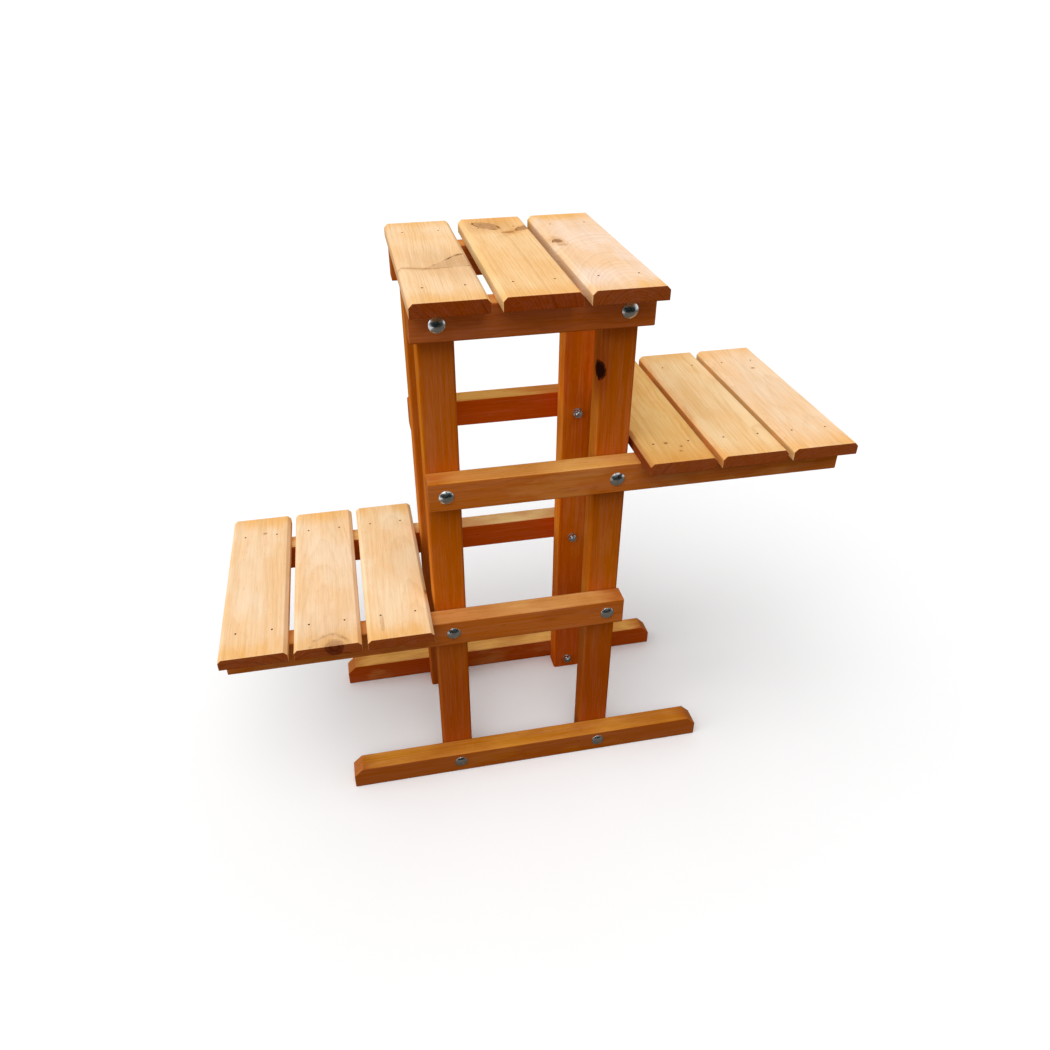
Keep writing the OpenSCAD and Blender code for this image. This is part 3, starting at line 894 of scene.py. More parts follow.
# Boards whose figure shows plainly; the others are cut by chance, from a fixed seed
FIGURES = {
    "top_slat_1": Figure(
        (-0.060, 0.050), (0.05, 0.02), 0.0026, 0.008, 0.4, pale_tint=(1.02, 0.97, 0.9),
        end_tint=(0.93, 0.78, 0.6), side_light_and_shade=(0.86, 0.80, 0.76), shelter=0.05,
        knots=(
            KnotPlace(0.014, -0.030, 0.026, 0.021, 0.30, 0.9, 0.003, turn=-27.0, taper=1.0),
            KnotPlace(-0.022, -0.037, 0.017, 0.0017, 0.45, 0.6, 0.002, turn=17.0),
        ),
    ),
    "top_slat_2": Figure(
        (-0.060, 0.030), (0.012, 0.03), 0.0024, 0.004, 0.5, pale_tint=(1.0, 0.90, 0.70),
        oil_tint=(1.0, 0.93, 0.85), end_tint=(0.95, 0.72, 0.5), side_light_and_shade=(1.03, 1.25, 1.40),
        shelter=0.05,
        knots=(
            KnotPlace(-0.0095, 0.105, 0.019, 0.0095, 0.75, 1.1, 0.004, turn=55.0),
            KnotPlace(0.030, 0.089, 0.0055, 0.014, 0.85, 1.2, 0.003, turn=45.0),
            KnotPlace(0.009, 0.074, 0.006, 0.0022, 0.9, 1.0, 0.001),
        ),
    ),
    # Its pale tint whitens its top as a painted sheen
    "top_slat_3": Figure(
        (0.012, 0.060), (0.03, 0.28), 0.0030, 0.012, 0.26, pale_tint=(1.0, 1.02, 1.18),
        side_light_and_shade=(0.92, 1.0, 1.0), shelter=0.0,
        knots=(
            KnotPlace(-0.029, 0.028, 0.0050, 0.0066, 1.2, 1.2, 0.003, turn=-8.0),
            KnotPlace(-0.027, 0.012, 0.0050, 0.0018, 0.35, 0.4, 0.001),
        ),
    ),
    "left_slat_1": Figure(
        (-0.016, 0.060), (0.02, 0.02), 0.0032, 0.007, 0.26, shelter=0.3,
        knots=(KnotPlace(0.005, 0.102, 0.0022, 0.0012, 1.0, 1.0, 0.001, turn=-35.0),),
    ),
    "left_slat_2": Figure(
        (-0.004, 0.045), (0.0, 0.06), 0.0034, 0.007, 0.24, shelter=0.3,
        knots=(
            KnotPlace(0.003, -0.141, 0.022, 0.021, 0.10, 0.50, 0.006),
            KnotPlace(0.007, -0.144, 0.012, 0.014, 0.80, 0.30, depth=-0.006, half_depth=0.016),
        ),
    ),
    "left_slat_3": Figure(
        (0.020, 0.06), (-0.04, 0.05), 0.0034, 0.007, 0.24, pale_tint=(1.02, 1.04, 1.0), shelter=0.3,
        knots=(
            KnotPlace(-0.019, -0.112, 0.0022, 0.014, 0.35, 0.3, 0.003),
            KnotPlace(0.036, -0.061, 0.0015, 0.0035, 1.0, 0.9, 0.001),
        ),
    ),
    # Its pale and oil tints deepen it towards its colour in the tower's shade, as painted shade
    "right_slat_1": Figure(
        (0.036, 0.040), (0.02, 0.0), 0.0024, 0.004, 0.42, pale_tint=(1.04, 0.94, 0.56),
        oil_tint=(1.0, 0.86, 0.55), side_light_and_shade=(0.35, 0.16, 0.16), shelter=0.8, damp=(-0.20, 0.0),
        knots=(
            KnotPlace(-0.006, -0.098, 0.0022, 0.0012, 1.4, 1.2, 0.001, turn=-30.0),
            KnotPlace(0.008, -0.108, 0.0014, 0.0010, 1.4, 1.2, 0.001),
            KnotPlace(0.004, -0.118, 0.0016, 0.0009, 1.2, 1.0, 0.001, turn=25.0),
        ),
    ),
    "right_slat_2": Figure(
        (0.030, 0.045), (0.02, 0.02), 0.0026, 0.004, 0.36, pale_tint=(1.045, 1.0, 0.83),
        side_light_and_shade=(1.0, 0.90, 0.75), shelter=0.8,
    ),
    "right_slat_3": Figure(
        (0.015, 0.05), (0.05, 0.05), 0.0032, 0.008, 0.24, pale_tint=(1.045, 1.03, 1.03),
        oil_tint=(1.05, 1.05, 1.15), side_light_and_shade=(1.0, 1.2, 1.35), shelter=0.7,
        knots=(KnotPlace(0.012, 0.073, 0.0024, 0.0014, 1.0, 0.9, 0.001),),
    ),
    "front_left_post": Figure((-0.012, 0.07), (0.008, 0.0), 0.0022, 0.005, 0.22),
    "front_right_post": Figure(
        (0.012, 0.06), (0.008, 0.0), 0.0024, 0.006, 0.22, oil_tint=(0.95, 0.92, 0.8),
        knots=(
            KnotPlace(
                -0.0215, 0.2275, 0.0086, 0.0112, 1.6, 1.6, 0.0035,
                depth=-0.0120, half_depth=0.0140,
            ),
        ),
    ),
    "back_right_post": Figure(
        (0.0, 0.06), (0.01, 0.0), 0.0024, 0.004, 0.25,
        pale_tint=(1.5, 1.6, 1.5), oil_tint=(1.5, 1.25, 0.85),
    ),
    "front_top_rail": Figure(
        (0.0, 0.05), (0.004, 0.0), 0.0024, 0.006, 0.45, oil_tint=(1.03, 0.97, 1.25), shelter=1.0,
    ),
    "front_middle_rail": Figure(
        (0.01, 0.06), (0.004, 0.0), 0.0024, 0.005, 0.4,
        pale_tint=(1.1, 1.13, 0.97), oil_tint=(1.0, 1.0, 0.85),
    ),
    "front_lower_rail": Figure(
        (-0.01, 0.06), (0.006, 0.0), 0.0026, 0.005, 0.4, oil_tint=(0.95, 0.93, 0.9),
    ),
    # The back rails and the back foot: their pale tints brighten their tops, which lie in shadow,
    # as painted light, and the rails' oil tints deepen their inner faces as painted shade
    "back_middle_rail": Figure(
        (0.01, 0.05), (0.004, 0.0),
        pale_tint=(1.26, 1.4, 1.15), oil_tint=(1.36, 0.80, 0.18), shelter=1.0,
    ),
    "back_lower_rail": Figure(
        (-0.01, 0.06), (0.004, 0.0),
        pale_tint=(1.26, 1.83, 2.6), oil_tint=(1.24, 0.70, 0.2), shelter=1.0,
    ),
    "back_foot": Figure(
        (0.01, 0.05), (0.004, 0.0), pale_tint=(1.53, 2.1, 4.2), oil_tint=(1.3, 0.85, 0.6),
    ),
}


def chance_figure(node):
    """A figure for a board that has none of its own, the same at every run."""
    dice = random.Random(node)
    pith = (dice.uniform(-0.03, 0.03), dice.choice((-1, 1)) * dice.uniform(0.04, 0.07))
    drift = (dice.uniform(-0.01, 0.01), dice.uniform(-0.01, 0.01))
    return Figure(pith, drift, dice.uniform(0.0026, 0.0036), dice.uniform(0.004, 0.007))


# Turns that lay each grain axis along Z, for the board's own coordinates
GRAIN_TURN = {
    X: (0.0, math.radians(-90.0), 0.0),
    Y: (math.radians(90.0), 0.0, 0.0),
    Z: (0.0, 0.0, 0.0),
}
GRAIN_AXIS = {X: (1.0, 0.0, 0.0), Y: (0.0, 1.0, 0.0), Z: (0.0, 0.0, 1.0)}
# Painted shade along a post, from its middle: where it is darkest towards the foot, and where that
# ends
POST_FOOT_PAINTED_SHADE = (-0.20, -0.06)
# How strongly the posts' face towards -X is painted pale like a face that looks up: painted light
# from the lamps on the left
POST_SIDE_PAINTED_LIGHT = 0.75
# A high power keeps most of the side's painted light and shade off the chamfer
SIDE_LIGHT_AND_SHADE_POWER = 4.0
PINE_BUMP = {"Strength": 0.28, "Distance": 0.0006}
STEEL_BUMP = {"Strength": 0.12, "Distance": 0.0001}
# How rough each kind of fastener is where it is bright
BOLT_ROUGHNESS = 0.16
WASHER_ROUGHNESS = 0.3
NUT_ROUGHNESS = 0.14
NAIL_ROUGHNESS = 0.45


def tinted(base, tint):
    """A colour times a tint, kept within what a surface can throw back."""
    return [min(level * factor, 1.0) for level, factor in zip(base, tint)]


def dress(tree, shader, base_colour, looks, bump):
    """Link a colour, and a group's roughness and relief, to a material's shader."""
    relief = put(tree, "ShaderNodeBump", {"Height": looks["Height"], **bump})
    tree.links.new(base_colour, shader.inputs["Base Color"])
    tree.links.new(looks["Roughness"], shader.inputs["Roughness"])
    tree.links.new(relief.outputs[0], shader.inputs["Normal"])


def add_knots(tree, board, knots, seed):
    """Add a board's knots and return the sum of each of their masks."""
    sums = {"Heart": 0.0, "Rim": 0.0, "Halo": 0.0, "Push": 0.0}
    for number, knot in enumerate(knots):
        unit = put(
            tree, "ShaderNodeMapping",
            {"Vector": board, "Location": knot.place, "Rotation": (0.0, knot.turn, 0.0),
             "Scale": knot.half_size},
            vector_type="TEXTURE",
        ).outputs[0]
        found = use_group(
            tree, "Knot",
            {"Vector": unit, "Seed": seed + number, "Heart Dark": knot.heart,
             "Rim Dark": knot.rim, "Taper": knot.taper, "Ring Push": knot.push},
        )
        for key in sums:
            sums[key] = reckon(tree, "ADD", found[key], sums[key])
    return sums


def board_colours(wood, figure):
    """The colours of one board, from those of its kind of wood and its own tints."""
    family = "slat" if wood == "slat" else "frame"
    shades = {
        "Pale": (wood + "_pale", figure.pale_tint),
        "Oiled": (wood + "_oiled", figure.oil_tint),
        "Late": (wood + "_late", figure.oil_tint),
        "End": (family + "_end", figure.end_tint),
        "End Late": (family + "_end_late", figure.end_tint),
        "Knot Heart": (family + "_knot_heart", WHITE),
        "Knot Rim": (family + "_knot_rim", WHITE),
    }
    colours = bpy.context.scene.stand_finish
    return {key: tinted(getattr(colours, name), tint) for key, (name, tint) in shades.items()}


def pine_material(node, axis, wood):
    """Pine for one board: its own cut of the log, in the colours of its kind of wood."""
    low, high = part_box(node)
    figure = FIGURES.get(node) or chance_figure(node)
    seed = random.Random(node + " seed").uniform(0.0, 50.0)
    material, tree, shader = start_material("pine_" + node)
    turn = Euler(GRAIN_TURN[axis]).to_matrix()
    middle = turn @ ((low + high) / 2)
    half_size = turn @ ((high - low) / 2)
    half_size = Vector(abs(value) for value in half_size)
    place = tree.nodes.new("ShaderNodeTexCoord").outputs["Object"]
    board = put(
        tree, "ShaderNodeMapping",
        {"Vector": place, "Location": -middle, "Rotation": GRAIN_TURN[axis]},
    ).outputs[0]
    knots = add_knots(tree, board, figure.knots, seed)
    rings = use_group(
        tree, "Growth Rings",
        {"Vector": board, "Pith": (*figure.pith, 0.0), "Drift": (*figure.drift, 0.0),
         "Ring Width": figure.ring, "Wander": figure.wander, "Push": knots["Push"], "Seed": seed},
    )
    fibre = use_group(tree, "Pine Fibre", {"Vector": board, "Seed": seed})
    ends = use_group(
        tree, "Board Ends",
        {"Vector": board, "Half Size": half_size, "Grain Axis": GRAIN_AXIS[axis], "Seed": seed},
    )
    # What faces up is painted pale, as painted light
    damp, lit = 0.0, ends["Upward"]
    # Painted shade along the board: darker towards a post's foot, or towards the end that a figure
    # gives
    painted_end_shade_reach = POST_FOOT_PAINTED_SHADE if wood == "post" else figure.damp
    if painted_end_shade_reach:
        damp = ramp_between(tree, split(tree, board)["Z"], *painted_end_shade_reach, 1.0, 0.0)
    # On the posts the face towards -X is painted pale too, as painted light
    if wood == "post":
        painted_side_lit = reckon(tree, "MULTIPLY", ends["Aside"], POST_SIDE_PAINTED_LIGHT)
        lit = reckon(tree, "MAXIMUM", lit, painted_side_lit)
    pine = use_group(
        tree, "Oiled Pine",
        {
            **board_colours(wood, figure), "Late Wood": rings["Late Wood"],
            "Streak": fibre["Streak"], "Duct": fibre["Duct"], "Blotch": fibre["Blotch"],
            "Heart": knots["Heart"], "Rim": knots["Rim"], "Halo": knots["Halo"],
            "End Grain": ends["End Grain"], "Soak": ends["Soak"], "Edge": ends["Edge"],
            "Upward": lit, "Damp": damp, "Figure": figure.figure, "Shelter": figure.shelter,
        },
    )
    # The face towards -X takes its own painted light and shade
    side = reckon(tree, "POWER", ends["Aside"], SIDE_LIGHT_AND_SHADE_POWER)
    shaded = blend(tree, side, pine["Color"], figure.side_light_and_shade, "MULTIPLY")
    dress(tree, shader, shaded, pine, PINE_BUMP)
    shader.inputs["Specular IOR Level"].default_value = 0.0
    return material


def steel_material(name, bright, dull, roughness):
    """Plated or bare steel in two colours."""
    material, tree, shader = start_material(name)
    place = tree.nodes.new("ShaderNodeTexCoord").outputs["Object"]
    steel = use_group(
        tree, "Plated Steel",
        {"Vector": place, "Bright": bright, "Dull": dull, "Polish": roughness},
    )
    dress(tree, shader, steel["Color"], steel, STEEL_BUMP)
    shader.inputs["Metallic"].default_value = 1.0
    return material


def zinc_material(name, roughness):
    """Zinc-plated steel."""
    colours = bpy.context.scene.stand_finish
    return steel_material(name, colours.zinc, colours.zinc_dull, roughness)


# ---- Boards ----


def ease_board(board, axis, rounding, segments, end_ease):
    """Round a board's long edges and ease the edges of its two ends."""
    ends = [corner[axis] for corner in extent(board)]
    start_editing(board)
    pick_edges(board, lambda a, b: abs(a[axis] - b[axis]) > (ends[1] - ends[0]) / 2)
    ease(rounding, segments)
    for end in ends:
        pick_edges(board, lambda a, b: max(abs(a[axis] - end), abs(b[axis] - end)) < SAME_PLACE)
        ease(end_ease)
    stop_editing()


def drill_for_bolts(board, levels, with_seats):
    """Drill a board for the bolts of some levels, with square seats where it takes their necks."""
    sizes = bpy.context.scene.stand_fasteners
    low, high = extent(board)
    middle_y = (low.y + high.y) / 2
    axes = [
        (place, turn)
        for level in levels
        for place, turn in bolt_axes(level)
        if low.x < place.x < high.x and place.y * middle_y > 0
    ]
    places = [(Vector((place.x, middle_y, place.z)), turn) for place, turn in axes]
    thickness = high.y - low.y
    drill(board, places, sizes.shank_radius + sizes.hole_clear, -thickness, thickness)
    if with_seats:
        half = sizes.neck_width / 2 + sizes.neck_clear
        outer = Vector((-half, -half, -MILLIMETRE))
        inner = Vector((half, half, sizes.neck_depth + sizes.neck_clear))
        cut_out(board, add_block("neck_seat", outer, inner), axes)


def drill_for_nails(board, shelf, with_heads):
    """Drill a slat or a rail for the nails that reach into it, and a slat for their heads."""
    sizes = bpy.context.scene.stand_fasteners
    low, high = extent(board)
    places = [
        (place, turn)
        for place, turn in nail_places(shelf)
        if low.x < place.x < high.x and low.y < place.y < high.y
    ]
    nails_low, nails_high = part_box(shelf + "_nails")
    bottom = nails_low.z - nails_high.z
    drill(board, places, sizes.nail_radius + sizes.nail_clear, bottom, 0.0, NAIL_SIDES)
    if with_heads:
        radius = sizes.nail_head_radius + sizes.nail_clear
        depth = sizes.nail_head_height
        drill(board, places, radius, -depth, depth * 3, NAIL_HEAD_SIDES)


class STAND_OT_add_posts(bpy.types.Operator):
    """Add the four posts, rounded along their edges and drilled for their bolts"""

    bl_idname = "plant_stand.add_posts"
    bl_label = "Add Posts"

    def execute(self, context):
        sizes = context.scene.stand_timber
        for node in POSTS:
            post = add_block(node + "_timber", *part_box(node))
            ease_board(post, Z, sizes.post_round, POST_EDGE_STEPS, sizes.end_ease)
            drill_for_bolts(post, BOLT_LEVELS, with_seats=False)
            finish(post, node, pine_material(node, Z, "post"))
        return {"FINISHED"}


class STAND_OT_add_rails(bpy.types.Operator):
    """Add the six shelf rails, drilled for their bolts and for the nails of their slats"""

    bl_idname = "plant_stand.add_rails"
    bl_label = "Add Rails"

    def execute(self, context):
        sizes = context.scene.stand_timber
        for node in RAILS:
            level = node.split("_")[1]
            shelf = next(name for name in SHELVES if RAIL_OF_SHELF[name] == level)
            rail = add_block(node + "_timber", *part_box(node))
            ease_board(rail, X, sizes.rail_round, RAIL_EDGE_STEPS, sizes.end_ease)
            drill_for_bolts(rail, (level,), with_seats=True)
            drill_for_nails(rail, shelf, with_heads=False)
            finish(rail, node, pine_material(node, X, "rail"))
        return {"FINISHED"}


class STAND_OT_add_feet(bpy.types.Operator):
    """Add the two foot rails, with their upper corners clipped"""

    bl_idname = "plant_stand.add_feet"
    bl_label = "Add Feet"

    def execute(self, context):
        sizes = context.scene.stand_timber
        for node in FEET:
            low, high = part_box(node)
            foot = add_block(node + "_timber", low, high)
            start_editing(foot)
            for side in SIDES:
                corner = (side * (high.x - sizes.foot_clip), 0.0, high.z)
                slice_off(corner, (side, 0.0, 1.0), close=True)
            pick_edges(foot, lambda a, b: abs(a.x - b.x) > sizes.foot_clip * 2)
            ease(sizes.rail_round, RAIL_EDGE_STEPS)
            ease_sharp_edges(sizes.end_ease)
            stop_editing()
            drill_for_bolts(foot, ("foot",), with_seats=True)
            finish(foot, node, pine_material(node, X, "foot"))
        return {"FINISHED"}


class STAND_OT_add_slats(bpy.types.Operator):
    """Add the nine slats, chamfered along their upper edges and drilled for their nails"""

    bl_idname = "plant_stand.add_slats"
    bl_label = "Add Slats"

    def execute(self, context):
        sizes = context.scene.stand_timber
        for shelf in SHELVES:
            for number in range(1, SLATS_PER_SHELF + 1):
                node = f"{shelf}_slat_{number}"
                low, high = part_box(node)
                slat = add_block(node + "_timber", low, high)
                start_editing(slat)
                pick_edges(
                    slat,
                    lambda a, b: abs(a.y - b.y) > sizes.slat_chamfer
                    and min(a.z, b.z) > high.z - SAME_PLACE,
                )
                ease(sizes.slat_chamfer, 1)
                ease_sharp_edges(sizes.slat_ease)
                stop_editing()
                drill_for_nails(slat, shelf, with_heads=True)
                finish(slat, node, pine_material(node, Y, "slat"))
        return {"FINISHED"}


# ---- Fasteners ----

TWELFTH_TURN = math.radians(30.0)
# In degrees: a nut's flats meet its turned corners at less than the usual angle
NUT_SMOOTH_ANGLE = 20.0
# How much of a head's rim is rounded, and a nail's tip in radii and as a share of its width
HEAD_RIM_EASE = 0.7
NAIL_TIP_LENGTH = 4
NAIL_TIP_WIDTH = 0.25


def extrude(rise, factor=None):
    """Extrude what is selected along Z and, given a factor, scale it about the Z axis."""
    bpy.ops.mesh.extrude_region_move(TRANSFORM_OT_translate={"value": (0.0, 0.0, rise)})
    if factor is not None:
        bpy.ops.transform.resize(value=(factor, factor, 1.0), center_override=(0.0, 0.0, 0.0))


class STAND_OT_add_bolts(bpy.types.Operator):
    """Add the sixteen carriage bolts, with domed heads, square necks and threaded ends"""

    bl_idname = "plant_stand.add_bolts"
    bl_label = "Add Bolts"

    def execute(self, context):
        sizes = context.scene.stand_fasteners
        low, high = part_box("top_bolts")
        reach = inner_span("top", "bolts")[1]
        zinc = zinc_material("bright_zinc", BOLT_ROUGHNESS)
        master = self.model(sizes, (high.z - low.z) / 2, reach)
        nodes = {level + "_bolts": bolt_axes(level) for level in BOLT_LEVELS}
        set_out(master, nodes, "_zinc", zinc)
        return {"FINISHED"}

    def model(self, sizes, head_radius, reach):
        """Model one bolt along +Z, with the underside of its head at the origin."""
        dome_height = sizes.head_height - sizes.head_rim
        dome_radius = (head_radius ** 2 + dome_height ** 2) / (2 * dome_height)
        deselect_all()
        bpy.ops.mesh.primitive_uv_sphere_add(
            segments=DOME_SEGMENTS, ring_count=DOME_RINGS, radius=dome_radius,
            location=(0.0, 0.0, dome_radius - sizes.head_height),
        )
        bolt = settle(bpy.context.object, "bolt_master")
        rim = -sizes.head_rim
        start_editing(bolt)
        slice_off((0.0, 0.0, rim), (0.0, 0.0, 1.0), close=False)
        pick_edges(bolt, lambda a, b: min(a.z, b.z) > rim - SAME_PLACE)
        extrude(sizes.head_rim)
        bpy.ops.mesh.edge_face_add()
        pick_edges(bolt, lambda a, b: abs(a.z - rim) + abs(b.z - rim) < SAME_PLACE)
        ease(sizes.head_rim * HEAD_RIM_EASE, HEAD_RIM_STEPS)
        bpy.ops.mesh.select_all(action="SELECT")
        bpy.ops.mesh.normals_make_consistent(inside=False)
        stop_editing()
        half = sizes.neck_width / 2
        outer, inner = Vector((-half, -half, rim / 2)), Vector((half, half, sizes.neck_depth))
        combine(bolt, add_block("bolt_neck", outer, inner), "UNION")
        combine(bolt, self.threaded_shank(sizes, reach), "UNION")
        return bolt

    def threaded_shank(self, sizes, reach):
        """Model a shank on the Z axis that ends in threads and a small chamfer."""
        thread_length = sizes.threads * sizes.thread_pitch
        shank = add_cylinder("bolt_shank", sizes.shank_radius, 0.0, reach - thread_length)
        root = (sizes.shank_radius - sizes.thread_depth) / sizes.shank_radius
        start_editing(shank)
        pick_faces(shank, lambda middle, normal: middle.z > reach - thread_length - SAME_PLACE)
        for number in range(sizes.threads):
            extrude(sizes.thread_pitch / 2, root)
            is_last = number == sizes.threads - 1
            extrude(sizes.thread_pitch / 2, 1.0 if is_last else 1 / root)
        stop_editing()
        return shank


class STAND_OT_add_washers(bpy.types.Operator):
    """Add the sixteen washers against the inner faces of the posts"""

    bl_idname = "plant_stand.add_washers"
    bl_label = "Add Washers"

    def execute(self, context):
        sizes = context.scene.stand_fasteners
        low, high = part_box("top_washers")
        near, far = inner_span("top", "washers")
        zinc = zinc_material("dull_zinc_washer", WASHER_ROUGHNESS)
        master = add_cylinder("washer_master", (high.z - low.z) / 2, near, far, WASHER_SIDES)
        bore(master, sizes.washer_hole, near, far, WASHER_SIDES)
        start_editing(master)
        ease_sharp_edges((far - near) / 8)
        stop_editing()
        nodes = {level + "_washers": bolt_axes(level) for level in BOLT_LEVELS}
        set_out(master, nodes, "_zinc", zinc)
        return {"FINISHED"}


class STAND_OT_add_nuts(bpy.types.Operator):
    """Add the sixteen hex nuts, chamfered at their corners"""

    bl_idname = "plant_stand.add_nuts"
    bl_label = "Add Nuts"

    def execute(self, context):
        sizes = context.scene.stand_fasteners
        low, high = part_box("top_nuts")
        near, far = inner_span("top", "nuts")
        flat_radius = (high.z - low.z) / 2
        corner_radius = flat_radius / math.cos(TWELFTH_TURN)
        zinc = zinc_material("dull_zinc_nut", NUT_ROUGHNESS)
        master = add_cylinder("nut_master", corner_radius, near, far, 6)
        turned = add_cylinder("nut_turning", corner_radius, near, far, NUT_TURNING_SIDES)
        start_editing(turned)
        ease_sharp_edges(corner_radius - flat_radius, 1)
        stop_editing()
        combine(master, turned, "INTERSECT")
        bore(master, sizes.nut_hole, near, far)
        # A twelfth of a turn about the bolt's axis lays two flats level
        nodes = {
            level + "_nuts": [
                (place, (turn[0], TWELFTH_TURN, 0.0)) for place, turn in bolt_axes(level)
            ]
            for level in BOLT_LEVELS
        }
        set_out(master, nodes, "_zinc", zinc, NUT_SMOOTH_ANGLE)
        return {"FINISHED"}


class STAND_OT_add_nails(bpy.types.Operator):
    """Add the nails that hold the slats, driven just below the wood"""

    bl_idname = "plant_stand.add_nails"
    bl_label = "Add Nails"

    def execute(self, context):
        sizes = context.scene.stand_fasteners
        colours = context.scene.stand_finish
        steel = steel_material(
            "nail_steel", colours.nail_steel, colours.nail_rust, NAIL_ROUGHNESS
        )
        low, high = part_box("top_nails")
        head_height = sizes.nail_head_height
        tip = NAIL_TIP_LENGTH * sizes.nail_radius
        master = add_cylinder(
            "nail_master", sizes.nail_head_radius, -head_height, 0.0, NAIL_HEAD_SIDES
        )
        start_editing(master)
        pick_faces(master, lambda middle, normal: normal.z < -0.5)
        bpy.ops.mesh.inset(thickness=sizes.nail_head_radius - sizes.nail_radius)
        extrude(-(high.z - low.z - head_height - tip))
        extrude(-tip, NAIL_TIP_WIDTH)
        pick_edges(master, lambda a, b: min(a.z, b.z) > -SAME_PLACE)
        ease(head_height / 4)
        stop_editing()
        nodes = {shelf + "_nails": nail_places(shelf) for shelf in SHELVES}
        set_out(master, nodes, "_steel", steel)
        return {"FINISHED"}


# ---- Stage ----

# The camera sees the stand as the photograph does, in a picture as wide as it is high
CAMERA_PLACE = (-0.1731, -0.8601, 0.8917)
CAMERA_TURN = (math.radians(55.776), math.radians(0.388), math.radians(-11.222))
SHIFT_X = 0.01615
SHIFT_Y = 0.00914
SENSOR_WIDTH = 36.0

# Each lamp's compass turn from +Y towards +X, height above the horizon and softness, in degrees
LAMPS = {"key": (-80.0, 62.0, 40.0), "side": (-95.0, 16.0, 50.0), "front": (-155.0, 59.0, 60.0)}
# What the floor throws back as light, where no eye or mirror sees it
FLOOR_BOUNCE = (0.13, 0.125, 0.12)
# Cards that show only in mirror-like surfaces: a brown one that lies on the floor, and dark ones
# that stand in front of the stand and behind it, as half width, foot and head
BROWN_CARD = ((-0.6, -3.0, 0.0005), (3.0, 3.0, 0.001))
BROWN_CARD_COLOUR = (0.15, 0.13, 0.11)
DARK_CARDS = {"wide": (1.8, 0.0, 1.1), "tall": (0.2, 1.1, 2.3)}
DARK_CARD_DISTANCE = 1.15
DARK_CARD_COLOUR = (0.012, 0.03, 0.028)
LAMP_DISTANCE = 3.0
FLOOR_ROUGHNESS = 0.9
NEAREST_SEEN = 0.01


def rays_that_see(tree):
    """1 for the rays of an eye or a mirror, and 0 for those that only carry light."""
    rays = tree.nodes.new("ShaderNodeLightPath").outputs
    seeing = reckon(tree, "MAXIMUM", rays["Is Camera Ray"], rays["Is Glossy Ray"])
    return reckon(tree, "MAXIMUM", seeing, rays["Is Transmission Ray"])


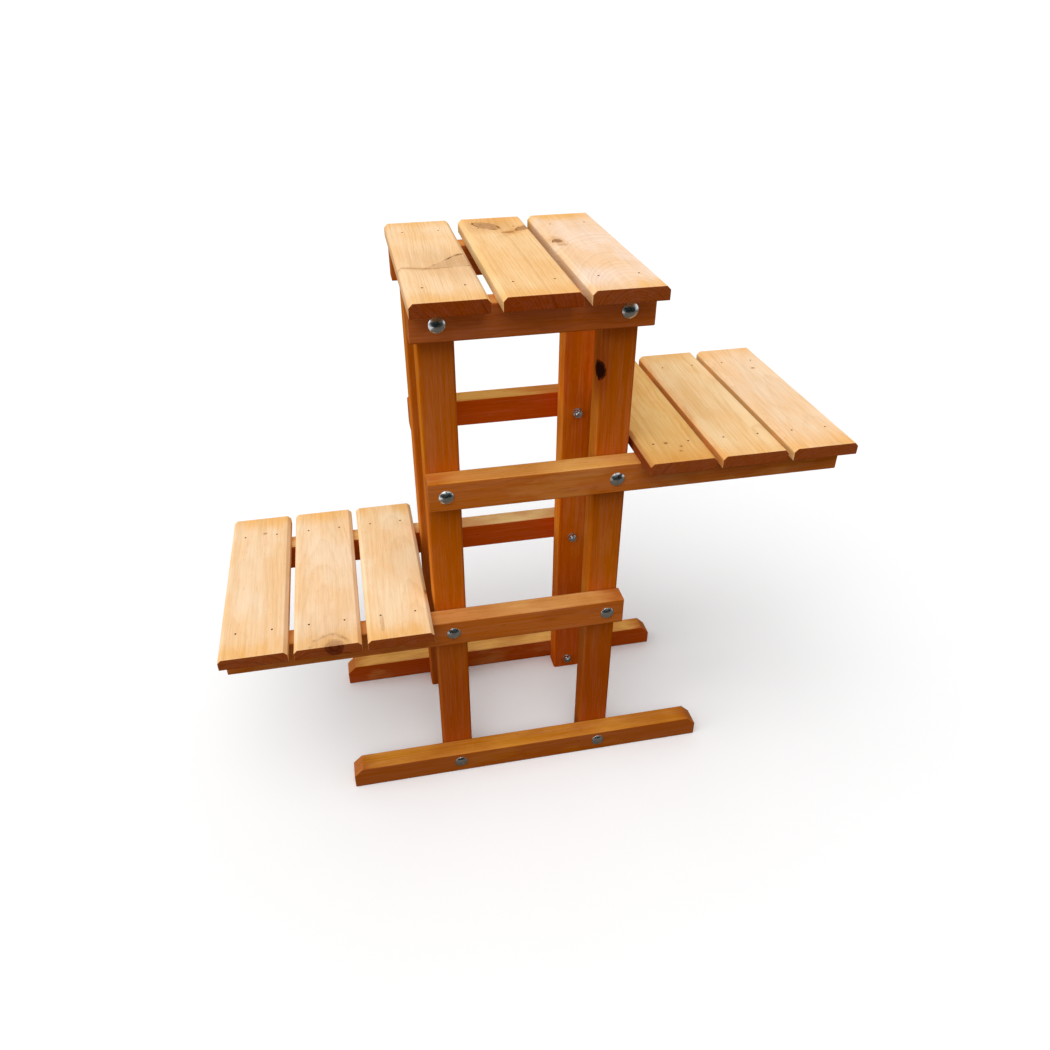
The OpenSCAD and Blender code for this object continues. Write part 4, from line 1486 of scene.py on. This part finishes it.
class STAND_OT_add_stage(bpy.types.Operator):
    """Add the white floor, the lamps and the camera"""

    bl_idname = "plant_stand.add_stage"
    bl_label = "Add Stage"

    def execute(self, context):
        settings = context.scene.stand_stage
        deselect_all()
        bpy.ops.mesh.primitive_plane_add(size=settings.floor_size, location=(0.0, 0.0, 0.0))
        floor = settle(bpy.context.object, "floor")
        floor.data.materials.append(self.floor_material())
        self.add_card("brown_card", *BROWN_CARD, BROWN_CARD_COLOUR)
        for name, (half, foot, head) in DARK_CARDS.items():
            for side, y in (("front", -DARK_CARD_DISTANCE), ("back", DARK_CARD_DISTANCE)):
                low, high = (-half, y, foot), (half, y + MILLIMETRE, head)
                self.add_card(f"{name}_{side}_card", low, high, DARK_CARD_COLOUR)
        for name, (compass, height, softness) in LAMPS.items():
            self.add_sun(name + "_lamp", compass, height, getattr(settings, name), softness)
        self.light_world(settings.fill)
        self.add_camera(settings.lens)
        context.scene.view_settings.view_transform = "Standard"
        return {"FINISHED"}

    def floor_material(self):
        """White where it is seen, and darker where it only throws light back."""
        material, tree, shader = start_material("white_floor")
        seen_white = blend(tree, rays_that_see(tree), FLOOR_BOUNCE, WHITE)
        tree.links.new(seen_white, shader.inputs["Base Color"])
        shader.inputs["Roughness"].default_value = FLOOR_ROUGHNESS
        shader.inputs["Specular IOR Level"].default_value = 0.0
        return material

    def add_card(self, name, low, high, card_colour):
        """Add a thin card that shows only in mirror-like surfaces, for their contrast."""
        card = add_block(name, Vector(low), Vector(high))
        material, _, shader = start_material(name)
        shader.inputs["Base Color"].default_value = (*card_colour, 1.0)
        shader.inputs["Roughness"].default_value = 1.0
        card.data.materials.append(material)
        for ray in ("camera", "diffuse", "shadow", "transmission"):
            setattr(card, "visible_" + ray, False)

    def add_sun(self, name, compass, height, strength, softness):
        """Add a sun that shines from a compass turn and a height above the horizon."""
        turn, rise = math.radians(compass), math.radians(height)
        level = math.cos(rise)
        towards = Vector((math.sin(turn) * level, math.cos(turn) * level, math.sin(rise)))
        bpy.ops.object.light_add(
            type="SUN", location=towards * LAMP_DISTANCE,
            rotation=towards.to_track_quat("Z", "Y").to_euler(),
        )
        sun = bpy.context.object
        sun.name = name
        sun.data.energy = strength
        sun.data.angle = math.radians(softness)

    def light_world(self, fill):
        """Even light from all round, behind which the background is white."""
        world = bpy.data.worlds.new("studio")
        bpy.context.scene.world = world
        world.use_nodes = True
        tree = world.node_tree
        strength = reckon(tree, "MULTIPLY_ADD", rays_that_see(tree), 1.0 - fill, fill)
        background = tree.nodes["Background"]
        background.inputs["Color"].default_value = (*WHITE, 1.0)
        tree.links.new(strength, background.inputs["Strength"])

    def add_camera(self, lens):
        """Add the camera at the photograph's viewing angle."""
        bpy.ops.object.camera_add(location=CAMERA_PLACE, rotation=CAMERA_TURN)
        camera = bpy.context.object
        camera.name = "camera"
        camera.data.sensor_width = SENSOR_WIDTH
        camera.data.lens = lens
        camera.data.shift_x = SHIFT_X
        camera.data.shift_y = SHIFT_Y
        camera.data.clip_start = NEAREST_SEEN
        bpy.context.scene.camera = camera


# ---- Panel and registration ----

BUILDERS = (
    STAND_OT_add_posts,
    STAND_OT_add_rails,
    STAND_OT_add_feet,
    STAND_OT_add_slats,
    STAND_OT_add_bolts,
    STAND_OT_add_washers,
    STAND_OT_add_nuts,
    STAND_OT_add_nails,
    STAND_OT_add_stage,
)
SETTINGS = {
    "stand_timber": TimberSettings,
    "stand_fasteners": FastenerSettings,
    "stand_finish": FinishSettings,
    "stand_stage": StageSettings,
}


class STAND_PT_builders(bpy.types.Panel):
    """Lists the steps that build the plant stand"""

    bl_idname = "STAND_PT_builders"
    bl_label = "Plant Stand"
    bl_space_type = "VIEW_3D"
    bl_region_type = "UI"
    bl_category = "Plant Stand"

    def draw(self, context):
        for builder in BUILDERS:
            self.layout.operator(builder.bl_idname)
        for name, group in SETTINGS.items():
            box = self.layout.box()
            box.label(text=group.__name__)
            for setting in group.__annotations__:
                box.prop(getattr(context.scene, name), setting)


def register():
    for name, group in SETTINGS.items():
        bpy.utils.register_class(group)
        setattr(bpy.types.Scene, name, PointerProperty(type=group))
    for each in (*BUILDERS, STAND_PT_builders):
        bpy.utils.register_class(each)


def unregister():
    for each in reversed((*BUILDERS, STAND_PT_builders)):
        bpy.utils.unregister_class(each)
    for name, group in SETTINGS.items():
        delattr(bpy.types.Scene, name)
        bpy.utils.unregister_class(group)


def main():
    """Build every piece around the frame and set the stage."""
    register()
    bpy.ops.plant_stand.add_posts()
    bpy.ops.plant_stand.add_rails()
    bpy.ops.plant_stand.add_feet()
    bpy.ops.plant_stand.add_slats()
    bpy.ops.plant_stand.add_bolts()
    bpy.ops.plant_stand.add_washers()
    bpy.ops.plant_stand.add_nuts()
    bpy.ops.plant_stand.add_nails()
    bpy.ops.plant_stand.add_stage()


if __name__ == "__main__":
    main()
